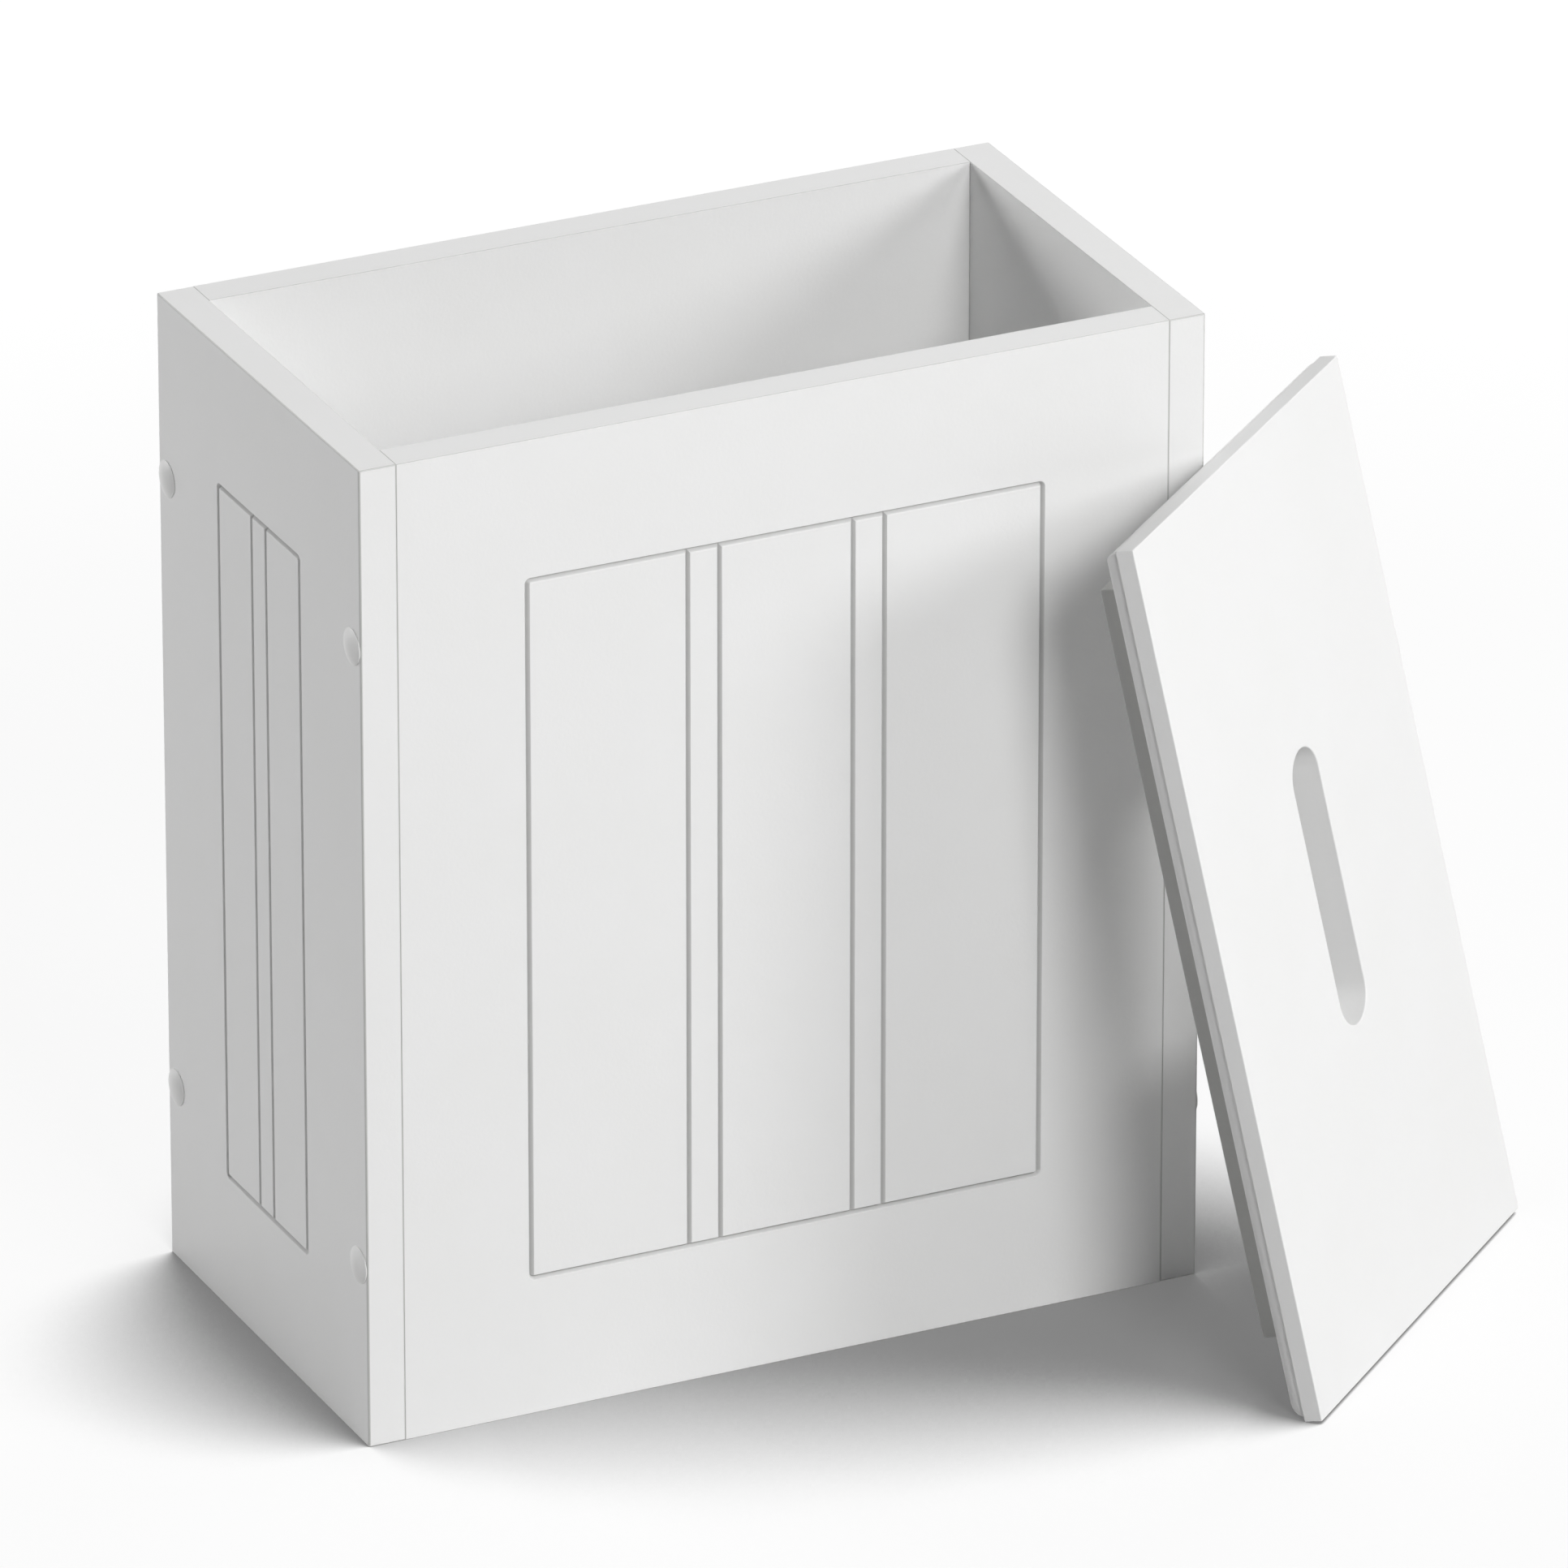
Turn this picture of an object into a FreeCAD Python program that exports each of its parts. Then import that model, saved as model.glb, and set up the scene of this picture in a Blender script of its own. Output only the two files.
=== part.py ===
import FreeCAD, Part
import math
import os

import Sketcher

# A slim floor-standing storage box of painted board. Four walls stand round a captured base, and a
# lift-off lid with a hand slot leans on the box's front right corner, with its foot on the floor.
# The frame is +X right, +Y back and +Z up, with the origin on the floor under the box's middle.

# Driving sizes in millimetres, and angles in degrees.
SIZES = (
    ("cabinet_width", 347.0),
    ("cabinet_depth", 186.0),
    ("cabinet_height", 400.0),
    ("board_thickness", 15.0),
    # Base, held in grooves of the four walls.
    ("base_thickness", 6.0),
    ("base_height", 12.0),
    ("base_groove_depth", 5.0),
    ("base_play", 0.3),
    # Routed grooves. Margins run from a wall's outline to the middle of the groove.
    ("groove_width", 2.0),
    ("groove_depth", 1.8),
    ("groove_end_margin", 56.7),
    ("front_groove_margin", 67.5),
    ("side_groove_margin", 55.6),
    ("strip_width", 13.0),
    ("front_strip_offset", 34.0),
    # Connector screws through the side panels, and their caps.
    ("screw_end_distance", 73.2),
    ("screw_bite", 35.0),
    ("screw_head_diameter", 10.0),
    ("screw_shank_diameter", 6.8),
    ("screw_thread_diameter", 6.4),
    ("screw_tip_length", 4.0),
    ("screw_play", 0.1),
    ("socket_width", 4.0),
    ("socket_depth", 3.0),
    ("cap_diameter", 14.5),
    ("cap_height", 2.0),
    ("cap_stem_length", 2.4),
    ("cap_stem_play", 0.1),
    # Dowels between the side panels and the ends of the front and back panels.
    ("dowel_diameter", 8.0),
    ("dowel_chamfer", 1.0),
    ("dowel_end_distance", 41.0),
    ("dowel_depth_in_side", 10.0),
    ("dowel_depth_in_end", 20.0),
    ("dowel_play", 0.1),
    ("drill_play", 0.5),
    # Lid, with a square band over a rounded lower edge.
    ("lid_thickness", 15.0),
    ("lid_end_overhang", 3.25),
    ("lid_side_overhang", 7.75),
    ("lid_band", 7.4),
    ("lid_quirk", 1.5),
    ("lid_round_flat", 0.2),
    ("slot_length", 112.0),
    ("slot_width", 24.5),
    # Battens that locate the lid inside the walls, and their screws.
    ("batten_width", 20.0),
    ("batten_thickness", 15.0),
    ("batten_side_clearance", 2.5),
    ("batten_end_clearance", 6.0),
    ("batten_screw_diameter", 3.5),
    ("batten_screw_head_diameter", 7.0),
    ("batten_screw_bite", 10.0),
    ("batten_screw_end_distance", 32.5),
    ("batten_screw_play", 0.1),
    ("recess_length", 3.6),
    ("recess_width", 0.9),
    ("recess_depth", 1.4),
    # How the lid stands: its turn about the vertical, its lean and its gap to the corner.
    ("lid_heading", 41.0),
    ("lid_lean", 13.14),
    ("lean_gap", 0.3),
)

# Worked-out sizes, as expressions on the sheet.
HALF_WIDTH = "(Sizes.cabinet_width / 2)"
HALF_DEPTH = "(Sizes.cabinet_depth / 2)"
INNER_HALF_WIDTH = f"({HALF_WIDTH} - Sizes.board_thickness)"
INNER_HALF_DEPTH = f"({HALF_DEPTH} - Sizes.board_thickness)"
HALF_BOARD = "(Sizes.board_thickness / 2)"
JOINT_Y = f"({HALF_DEPTH} - {HALF_BOARD})"
HALF_GROOVE = "(Sizes.groove_width / 2)"
HALF_STRIP = "(Sizes.strip_width / 2)"
FRAME_LOW = "Sizes.groove_end_margin"
FRAME_HIGH = "(Sizes.cabinet_height - Sizes.groove_end_margin)"
SCREW_PITCH = "(Sizes.cabinet_height - 2 * Sizes.screw_end_distance)"
DOWEL_PITCH = "(Sizes.cabinet_height - 2 * Sizes.dowel_end_distance)"
DOWEL_LENGTH = "(Sizes.dowel_depth_in_side + Sizes.dowel_depth_in_end)"
DOWEL_BORE = "(Sizes.dowel_diameter + 2 * Sizes.dowel_play)"
THREAD_BORE = "(Sizes.screw_thread_diameter + 2 * Sizes.screw_play)"
SHANK_BORE = "(Sizes.screw_shank_diameter + 2 * Sizes.screw_play)"
HEAD_BORE = "(Sizes.screw_head_diameter + 2 * Sizes.screw_play)"
BASE_GROOVE_TOP = "(Sizes.base_height + Sizes.base_thickness + Sizes.base_play)"
BASE_TONGUE = "(Sizes.base_groove_depth - Sizes.base_play)"
LID_HALF_LENGTH = f"({HALF_WIDTH} + Sizes.lid_end_overhang)"
LID_HALF_WIDTH = f"({HALF_DEPTH} + Sizes.lid_side_overhang)"
LID_LOWER = "(Sizes.lid_thickness - Sizes.lid_band)"
LID_ROUND = f"({LID_LOWER} - Sizes.lid_round_flat)"
BATTEN_OUTER = f"({INNER_HALF_DEPTH} - Sizes.batten_side_clearance)"
BATTEN_INNER = f"({BATTEN_OUTER} - Sizes.batten_width)"
BATTEN_MIDDLE = f"({BATTEN_OUTER} - Sizes.batten_width / 2)"
BATTEN_HALF_LENGTH = f"({INNER_HALF_WIDTH} - Sizes.batten_end_clearance)"
BATTEN_SCREW_X = f"({BATTEN_HALF_LENGTH} - Sizes.batten_screw_end_distance)"
BATTEN_SCREW_BORE = "(Sizes.batten_screw_diameter + 2 * Sizes.batten_screw_play)"
BATTEN_HEAD_BORE = "(Sizes.batten_screw_head_diameter + 2 * Sizes.batten_screw_play)"

# The leaning lid. Its rounded upper edge stands off the box's front right corner by the lean gap,
# halfway along the edge, and the lower edge of its band stands on the floor.
LEAN = "(Sizes.lid_lean * 1 deg)"
HEADING = "(Sizes.lid_heading * 1 deg)"
ROUND_CENTRE = f"({LID_HALF_LENGTH} - Sizes.lid_quirk - {LID_ROUND})"
LID_REACH = f"({ROUND_CENTRE} * sin({LEAN}) + {LID_ROUND} * (1 - cos({LEAN})) + Sizes.lean_gap)"
BAND_DROP = f"({LID_HALF_LENGTH} * cos({LEAN}) - {LID_LOWER} * sin({LEAN}))"
ROUND_DROP = f"({ROUND_CENTRE} * cos({LEAN}) - {LID_ROUND} * sin({LEAN}) + {LID_ROUND})"
LID_X = f"({HALF_WIDTH} + {LID_REACH} * sin({HEADING}))"
LID_Y = f"(-{HALF_DEPTH} - {LID_REACH} * cos({HEADING}))"
LID_Z = f"max({BAND_DROP}; {ROUND_DROP})"
LID_TURN = "rotation(Sizes.lid_heading - 90; 90 - Sizes.lid_lean; 0)"
LID_PLACE = f"placement(vector({LID_X}; {LID_Y}; {LID_Z}); {LID_TURN})"

# Corner joints: name, side of the middle along X, side of the middle along Y.
CORNERS = (
    ("front_left", -1, -1),
    ("front_right", 1, -1),
    ("back_left", -1, 1),
    ("back_right", 1, 1),
)
BATTENS = (("lid_front_batten", -1), ("lid_back_batten", 1))
BATTEN_SCREW_COUNT = 3
PAIR = 2
COUNTERSINK_ANGLE = 90
HEXAGON_SIDES = 6


def make_sheet(doc):
    """Writes the driving sizes to the spreadsheet, one named cell each."""
    sheet = doc.addObject("Spreadsheet::Sheet", "Sizes")
    for row, (name, value) in enumerate(SIZES, start=1):
        sheet.set(f"A{row}", name)
        sheet.set(f"B{row}", str(value))
        sheet.setAlias(f"B{row}", name)
    doc.recompute()


def add_body(doc, label, place):
    """Starts a sub-part whose placement follows the sheet."""
    body = doc.addObject("PartDesign::Body", label)
    body.Label = label
    body.setExpression("Placement", place)
    return body


def origin_feature(body, role):
    """Returns one of the body's own planes or axes."""
    return next(item for item in body.Origin.OriginFeatures if item.Role == role)


def add_sketch(body, name, role, offset=("0", "0", "0")):
    """Adds a sketch on an origin plane, shifted in the plane and along its normal."""
    sketch = body.newObject("Sketcher::SketchObject", name)
    sketch.AttachmentSupport = [(origin_feature(body, role), "")]
    sketch.MapMode = "FlatFace"
    for letter, value in zip("xyz", offset):
        sketch.setExpression(f"AttachmentOffset.Base.{letter}", value)
    return sketch


def bind(sketch, kind, where, expression, value):
    """Adds a dimension to the sketch and ties it to the sheet."""
    number = sketch.addConstraint(Sketcher.Constraint(kind, *where, value))
    name = f"{kind}_{number}"
    sketch.renameConstraint(number, name)
    sketch.setExpression(f"Constraints.{name}", expression)


def value_of(sketch, expression):
    """Returns an expression's present value as a plain number."""
    return float(sketch.evalExpression(expression))


def rectangle(low_x, high_x, low_y, high_y):
    """Returns a rectangle's corners, counter-clockwise."""
    return ((low_x, low_y), (high_x, low_y), (high_x, high_y), (low_x, high_y))


def add_outline(sketch, corners):
    """Draws a closed outline of straight lines with every corner tied to the sheet."""
    points = [FreeCAD.Vector(value_of(sketch, x), value_of(sketch, y)) for x, y in corners]
    first = sketch.GeometryCount
    count = len(points)
    for index, point in enumerate(points):
        sketch.addGeometry(Part.LineSegment(point, points[(index + 1) % count]))
    for index in range(count):
        after = first + (index + 1) % count
        sketch.addConstraint(Sketcher.Constraint("Coincident", first + index, 2, after, 1))
    for index, (x, y) in enumerate(corners):
        bind(sketch, "DistanceX", (-1, 1, first + index, 1), x, points[index].x)
        bind(sketch, "DistanceY", (-1, 1, first + index, 1), y, points[index].y)


def add_circle(sketch, x, y, diameter):
    """Draws a circle with its centre and diameter tied to the sheet."""
    centre = FreeCAD.Vector(value_of(sketch, x), value_of(sketch, y))
    size = value_of(sketch, diameter)
    number = sketch.addGeometry(Part.Circle(centre, FreeCAD.Vector(0, 0, 1), size / 2))
    bind(sketch, "DistanceX", (-1, 1, number, 3), x, centre.x)
    bind(sketch, "DistanceY", (-1, 1, number, 3), y, centre.y)
    bind(sketch, "Diameter", (number,), diameter, size)


def add_arc(sketch, centre_x, radius, start, end):
    """Draws an arc about a point on the sketch's own X axis and returns its number."""
    circle = Part.Circle(FreeCAD.Vector(centre_x, 0), FreeCAD.Vector(0, 0, 1), radius)
    return sketch.addGeometry(Part.ArcOfCircle(circle, start, end))


def pad(body, name, sketch, length, reverse=False):
    """Adds material from a sketch along its normal, or against it."""
    feature = body.newObject("PartDesign::Pad", name)
    feature.Profile = sketch
    feature.Reversed = reverse
    feature.setExpression("Length", length)
    body.Document.recompute()
    return feature


def pocket(body, name, sketch, depth, reverse=False):
    """Cuts a sketch into the body against its normal, or along it, and checks that it cut."""
    before = body.Shape.Volume
    feature = body.newObject("PartDesign::Pocket", name)
    feature.Profile = sketch
    feature.Reversed = reverse
    feature.setExpression("Length", depth)
    body.Document.recompute()
    if body.Shape.Volume >= before:
        raise RuntimeError(f"{body.Label}: {name} cuts nothing")
    return feature


def countersunk_hole(body, name, sketch, bore, head_bore, depth, reverse=False):
    """Drills the circles of a sketch with a countersunk mouth and checks that it cut."""
    body.Document.recompute()
    before = body.Shape.Volume
    feature = body.newObject("PartDesign::Hole", name)
    feature.Profile = sketch
    feature.Reversed = reverse
    feature.Threaded = False
    feature.DepthType = "Dimension"
    feature.DrillPoint = "Flat"
    feature.HoleCutType = "Countersink"
    feature.HoleCutCustomValues = True
    feature.setExpression("Diameter", bore)
    feature.setExpression("HoleCutDiameter", head_bore)
    feature.HoleCutCountersinkAngle = COUNTERSINK_ANGLE
    feature.setExpression("Depth", depth)
    body.Document.recompute()
    if body.Shape.Volume >= before:
        raise RuntimeError(f"{body.Label}: {name} cuts nothing")
    return feature


def revolve(body, name, sketch, axis):
    """Turns a half profile about one of its sketch's axes."""
    feature = body.newObject("PartDesign::Revolution", name)
    feature.Profile = sketch
    feature.ReferenceAxis = (sketch, [axis])
    feature.Angle = 360
    body.Document.recompute()
    return feature


def repeat(body, name, features, axis_role, length, count):
    """Repeats features in a row that spans a length along one of the body's axes."""
    pattern = body.newObject("PartDesign::LinearPattern", name)
    pattern.Originals = features
    pattern.Direction = (origin_feature(body, axis_role), [""])
    pattern.setExpression("Length", length)
    pattern.Occurrences = count
    body.Tip = pattern
    body.Document.recompute()


def mirror(body, name, features, plane_role):
    """Mirrors features across one of the body's planes."""
    feature = body.newObject("PartDesign::Mirrored", name)
    feature.Originals = features
    feature.MirrorPlane = (origin_feature(body, plane_role), [""])
    body.Tip = feature
    body.Document.recompute()


def plain_place(x, y, z, turn=0):
    """Returns a placement expression for a piece that stands upright."""
    return f"placement(vector({x}; {y}; {z}); rotation({turn}; 0; 0))"


def groove_fields(edges, low, high):
    """Returns the outline round a groove frame and the outlines of the fields left inside it."""
    outer = rectangle(
        f"({edges[0]} - {HALF_GROOVE})",
        f"({edges[-1]} + {HALF_GROOVE})",
        f"({low} - {HALF_GROOVE})",
        f"({high} + {HALF_GROOVE})",
    )
    fields = [
        rectangle(
            f"({left} + {HALF_GROOVE})",
            f"({right} - {HALF_GROOVE})",
            f"({low} + {HALF_GROOVE})",
            f"({high} - {HALF_GROOVE})",
        )
        for left, right in zip(edges, edges[1:])
    ]
    return [outer] + fields


def cut_groove_frame(body, role, edges, reverse):
    """Routs the groove frame and its inner grooves into a panel's outer face."""
    sketch = add_sketch(body, "groove_lines", role)
    for outline in groove_fields(edges, FRAME_LOW, FRAME_HIGH):
        add_outline(sketch, outline)
    pocket(body, "routed_grooves", sketch, "Sizes.groove_depth", reverse)


def make_side_panel(doc, label, place):
    """Makes a side panel, outer face at its own X = 0, drilled for the joints at both edges."""
    body = add_body(doc, label, place)
    outline = add_sketch(body, "outline", "YZ_Plane")
    add_outline(outline, rectangle(f"-{HALF_DEPTH}", HALF_DEPTH, "0", "Sizes.cabinet_height"))
    pad(body, "board", outline, "Sizes.board_thickness")
    frame_edge = f"({HALF_DEPTH} - Sizes.side_groove_margin)"
    edges = (f"-{frame_edge}", f"-{HALF_STRIP}", HALF_STRIP, frame_edge)
    cut_groove_frame(body, "YZ_Plane", edges, True)
    inner_face = ("0", "0", "Sizes.board_thickness")
    groove = add_sketch(body, "base_groove_line", "YZ_Plane", inner_face)
    reach = f"({INNER_HALF_DEPTH} + Sizes.base_groove_depth)"
    add_outline(groove, rectangle(f"-{reach}", reach, "Sizes.base_height", BASE_GROOVE_TOP))
    pocket(body, "base_groove", groove, "Sizes.base_groove_depth")
    bores = add_sketch(body, "dowel_centres", "YZ_Plane", inner_face)
    screws = add_sketch(body, "screw_centres", "YZ_Plane")
    for joint in (f"-{JOINT_Y}", JOINT_Y):
        for end in ("Sizes.dowel_end_distance", "(Sizes.cabinet_height - Sizes.dowel_end_distance)"):
            add_circle(bores, joint, end, DOWEL_BORE)
        for end in ("Sizes.screw_end_distance", "(Sizes.cabinet_height - Sizes.screw_end_distance)"):
            add_circle(screws, joint, end, SHANK_BORE)
    pocket(body, "dowel_bores", bores, "Sizes.dowel_depth_in_side + Sizes.drill_play")
    countersunk_hole(body, "screw_holes", screws, SHANK_BORE, HEAD_BORE, "Sizes.board_thickness", True)
    return body


def make_wall_panel(doc, label, place, grooved):
    """Makes a front or back panel, outer face at its own Y = 0, drilled in both ends."""
    body = add_body(doc, label, place)
    outline = add_sketch(body, "outline", "XZ_Plane")
    full = rectangle(f"-{INNER_HALF_WIDTH}", INNER_HALF_WIDTH, "0", "Sizes.cabinet_height")
    add_outline(outline, full)
    pad(body, "board", outline, "Sizes.board_thickness", True)
    if grooved:
        frame_edge = f"({HALF_WIDTH} - Sizes.front_groove_margin)"
        near = f"(Sizes.front_strip_offset - {HALF_STRIP})"
        far = f"(Sizes.front_strip_offset + {HALF_STRIP})"
        edges = (f"-{frame_edge}", f"-{far}", f"-{near}", near, far, frame_edge)
        cut_groove_frame(body, "XZ_Plane", edges, False)
    inner_face = ("0", "0", "-Sizes.board_thickness")
    groove = add_sketch(body, "base_groove_line", "XZ_Plane", inner_face)
    ends = rectangle(f"-{INNER_HALF_WIDTH}", INNER_HALF_WIDTH, "Sizes.base_height", BASE_GROOVE_TOP)
    add_outline(groove, ends)
    pocket(body, "base_groove", groove, "Sizes.base_groove_depth", True)
    end_face = ("0", "0", INNER_HALF_WIDTH)
    bores = add_sketch(body, "dowel_centres", "YZ_Plane", end_face)
    pilots = add_sketch(body, "screw_centres", "YZ_Plane", end_face)
    for end in ("Sizes.dowel_end_distance", "(Sizes.cabinet_height - Sizes.dowel_end_distance)"):
        add_circle(bores, HALF_BOARD, end, DOWEL_BORE)
    for end in ("Sizes.screw_end_distance", "(Sizes.cabinet_height - Sizes.screw_end_distance)"):
        add_circle(pilots, HALF_BOARD, end, THREAD_BORE)
    drilled = [
        pocket(body, "dowel_bores", bores, "Sizes.dowel_depth_in_end + Sizes.drill_play"),
        pocket(body, "screw_pilots", pilots, "Sizes.screw_bite + Sizes.drill_play"),
    ]
    mirror(body, "other_end", drilled, "YZ_Plane")
    return body


def make_base_panel(doc):
    """Makes the thin base whose edges stand in the grooves of the four walls."""
    body = add_body(doc, "base_panel", plain_place("0", "0", "Sizes.base_height"))
    outline = add_sketch(body, "outline", "XY_Plane")
    reach_x = f"({INNER_HALF_WIDTH} + {BASE_TONGUE})"
    reach_y = f"({INNER_HALF_DEPTH} + {BASE_TONGUE})"
    add_outline(outline, rectangle(f"-{reach_x}", reach_x, f"-{reach_y}", reach_y))
    pad(body, "board", outline, "Sizes.base_thickness")
    return body


def joint_place(side_x, side_y, start, height):
    """Returns the placement of a joint's lower fastener, its own X axis pointing into the box."""
    x = f"{side_x} * ({HALF_WIDTH} - {start})"
    turn = 0 if side_x < 0 else 180
    return plain_place(x, f"{side_y} * {JOINT_Y}", height, turn)


def make_screws(doc, corner, side_x, side_y):
    """Makes the two connector screws of a corner joint, each with a hexagon socket in its head."""
    place = joint_place(side_x, side_y, "0", "Sizes.screw_end_distance")
    body = add_body(doc, f"{corner}_screws", place)
    profile = add_sketch(body, "half_profile", "XY_Plane")
    head = "(Sizes.screw_head_diameter / 2)"
    shank = "(Sizes.screw_shank_diameter / 2)"
    thread = "(Sizes.screw_thread_diameter / 2)"
    tip = "(Sizes.board_thickness + Sizes.screw_bite)"
    add_outline(profile, (
        ("0", "0"),
        (tip, "0"),
        (f"({tip} - Sizes.screw_tip_length)", thread),
        ("Sizes.board_thickness", thread),
        ("Sizes.board_thickness", shank),
        (f"({head} - {shank})", shank),
        ("0", head),
    ))
    turned = revolve(body, "turned_screw", profile, "H_Axis")
    hexagon = add_sketch(body, "socket_outline", "YZ_Plane")
    corner_radius = f"(Sizes.socket_width / 2 / cos({180 // HEXAGON_SIDES} deg))"
    angles = [f"{360 // HEXAGON_SIDES * side} deg" for side in range(HEXAGON_SIDES)]
    add_outline(hexagon, [(f"{corner_radius} * cos({a})", f"{corner_radius} * sin({a})") for a in angles])
    socket = pocket(body, "socket", hexagon, "Sizes.socket_depth", True)
    repeat(body, "pair", [turned, socket], "Z_Axis", SCREW_PITCH, PAIR)
    return body


def make_caps(doc, corner, side_x, side_y):
    """Makes the two domed caps of a corner joint, each with a stem in its screw's socket."""
    place = joint_place(side_x, side_y, "0", "Sizes.screw_end_distance")
    body = add_body(doc, f"{corner}_screw_caps", place)
    profile = add_sketch(body, "half_profile", "XY_Plane")
    stem = "(Sizes.socket_width / 2 - Sizes.cap_stem_play)"
    rim = "(Sizes.cap_diameter / 2)"
    corners = (
        ("-Sizes.cap_height", "0"),
        ("Sizes.cap_stem_length", "0"),
        ("Sizes.cap_stem_length", stem),
        ("0", stem),
        ("0", rim),
    )
    points = [FreeCAD.Vector(value_of(profile, x), value_of(profile, y)) for x, y in corners]
    for start, end in zip(points, points[1:]):
        profile.addGeometry(Part.LineSegment(start, end))
    rise = -points[0].x
    centre = (points[-1].y ** 2 - rise ** 2) / (2 * rise)
    dome = add_arc(profile, centre, centre + rise, math.atan2(points[-1].y, -centre), math.pi)
    for index in range(len(points) - 2):
        profile.addConstraint(Sketcher.Constraint("Coincident", index, 2, index + 1, 1))
    profile.addConstraint(Sketcher.Constraint("Coincident", len(points) - 2, 2, dome, 1))
    profile.addConstraint(Sketcher.Constraint("Coincident", dome, 2, 0, 1))
    profile.addConstraint(Sketcher.Constraint("PointOnObject", dome, 3, -1))
    for index, (x, y) in enumerate(corners):
        line, end = (index, 1) if index < len(points) - 1 else (index - 1, 2)
        bind(profile, "DistanceX", (-1, 1, line, end), x, points[index].x)
        bind(profile, "DistanceY", (-1, 1, line, end), y, points[index].y)
    turned = revolve(body, "turned_cap", profile, "H_Axis")
    repeat(body, "pair", [turned], "Z_Axis", SCREW_PITCH, PAIR)
    return body


def make_dowels(doc, corner, side_x, side_y):
    """Makes the two wooden dowels of a corner joint, chamfered at both ends."""
    start = "(Sizes.board_thickness - Sizes.dowel_depth_in_side)"
    place = joint_place(side_x, side_y, start, "Sizes.dowel_end_distance")
    body = add_body(doc, f"{corner}_dowels", place)
    profile = add_sketch(body, "half_profile", "XY_Plane")
    radius = "(Sizes.dowel_diameter / 2)"
    small = f"({radius} - Sizes.dowel_chamfer)"
    add_outline(profile, (
        ("0", "0"),
        (DOWEL_LENGTH, "0"),
        (DOWEL_LENGTH, small),
        (f"({DOWEL_LENGTH} - Sizes.dowel_chamfer)", radius),
        ("Sizes.dowel_chamfer", radius),
        ("0", small),
    ))
    turned = revolve(body, "turned_dowel", profile, "H_Axis")
    repeat(body, "pair", [turned], "Z_Axis", DOWEL_PITCH, PAIR)
    return body


def add_slot_outline(sketch):
    """Draws the hand slot, a straight-sided opening with fully rounded ends."""
    radius = value_of(sketch, "Sizes.slot_width / 2")
    end = value_of(sketch, "(Sizes.slot_length - Sizes.slot_width) / 2")
    low, high = FreeCAD.Vector(-end, -radius), FreeCAD.Vector(-end, radius)
    sketch.addGeometry(Part.LineSegment(low, FreeCAD.Vector(end, -radius)))
    right = add_arc(sketch, end, radius, -math.pi / 2, math.pi / 2)
    back = sketch.addGeometry(Part.LineSegment(FreeCAD.Vector(end, radius), high))
    left = add_arc(sketch, -end, radius, math.pi / 2, 3 * math.pi / 2)
    ring = (0, right, back, left)
    for here, after in zip(ring, ring[1:] + ring[:1]):
        sketch.addConstraint(Sketcher.Constraint("Tangent", here, 2, after, 1))
    for arc, sign, centre in ((right, "", end), (left, "-", -end)):
        sketch.addConstraint(Sketcher.Constraint("PointOnObject", arc, 3, -1))
        reach = f"{sign}(Sizes.slot_length - Sizes.slot_width) / 2"
        bind(sketch, "DistanceX", (-1, 1, arc, 3), reach, centre)
    bind(sketch, "Radius", (right,), "Sizes.slot_width / 2", radius)


def make_lid_panel(doc):
    """Makes the lid board: a square band over a rounded lower edge, with a hand slot through it."""
    body = add_body(doc, "lid_panel", LID_PLACE)
    lower = add_sketch(body, "lower_outline", "XY_Plane")
    length, width = f"({LID_HALF_LENGTH} - Sizes.lid_quirk)", f"({LID_HALF_WIDTH} - Sizes.lid_quirk)"
    add_outline(lower, rectangle(f"-{length}", length, f"-{width}", width))
    pad(body, "lower_board", lower, LID_LOWER)
    upper = add_sketch(body, "band_outline", "XY_Plane", ("0", "0", LID_LOWER))
    full = rectangle(f"-{LID_HALF_LENGTH}", LID_HALF_LENGTH, f"-{LID_HALF_WIDTH}", LID_HALF_WIDTH)
    add_outline(upper, full)
    board = pad(body, "band", upper, "Sizes.lid_band")
    bottom = [
        f"Edge{number}"
        for number, edge in enumerate(board.Shape.Edges, start=1)
        if edge.BoundBox.ZMax < value_of(upper, "Sizes.lid_round_flat") / 2
    ]
    moulding = body.newObject("PartDesign::Fillet", "rounded_edge")
    moulding.Base = (board, bottom)
    moulding.setExpression("Radius", LID_ROUND)
    doc.recompute()
    slot = add_sketch(body, "slot_outline", "XY_Plane")
    add_slot_outline(slot)
    pocket(body, "hand_slot", slot, "Sizes.lid_thickness", True)
    pilots = add_sketch(body, "batten_screw_centres", "XY_Plane")
    for side in ("-", ""):
        for x in (f"-{BATTEN_SCREW_X}", "0", BATTEN_SCREW_X):
            add_circle(pilots, x, f"{side}{BATTEN_MIDDLE}", BATTEN_SCREW_BORE)
    pocket(body, "batten_screw_pilots", pilots, "Sizes.batten_screw_bite + Sizes.drill_play", True)
    return body


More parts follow.
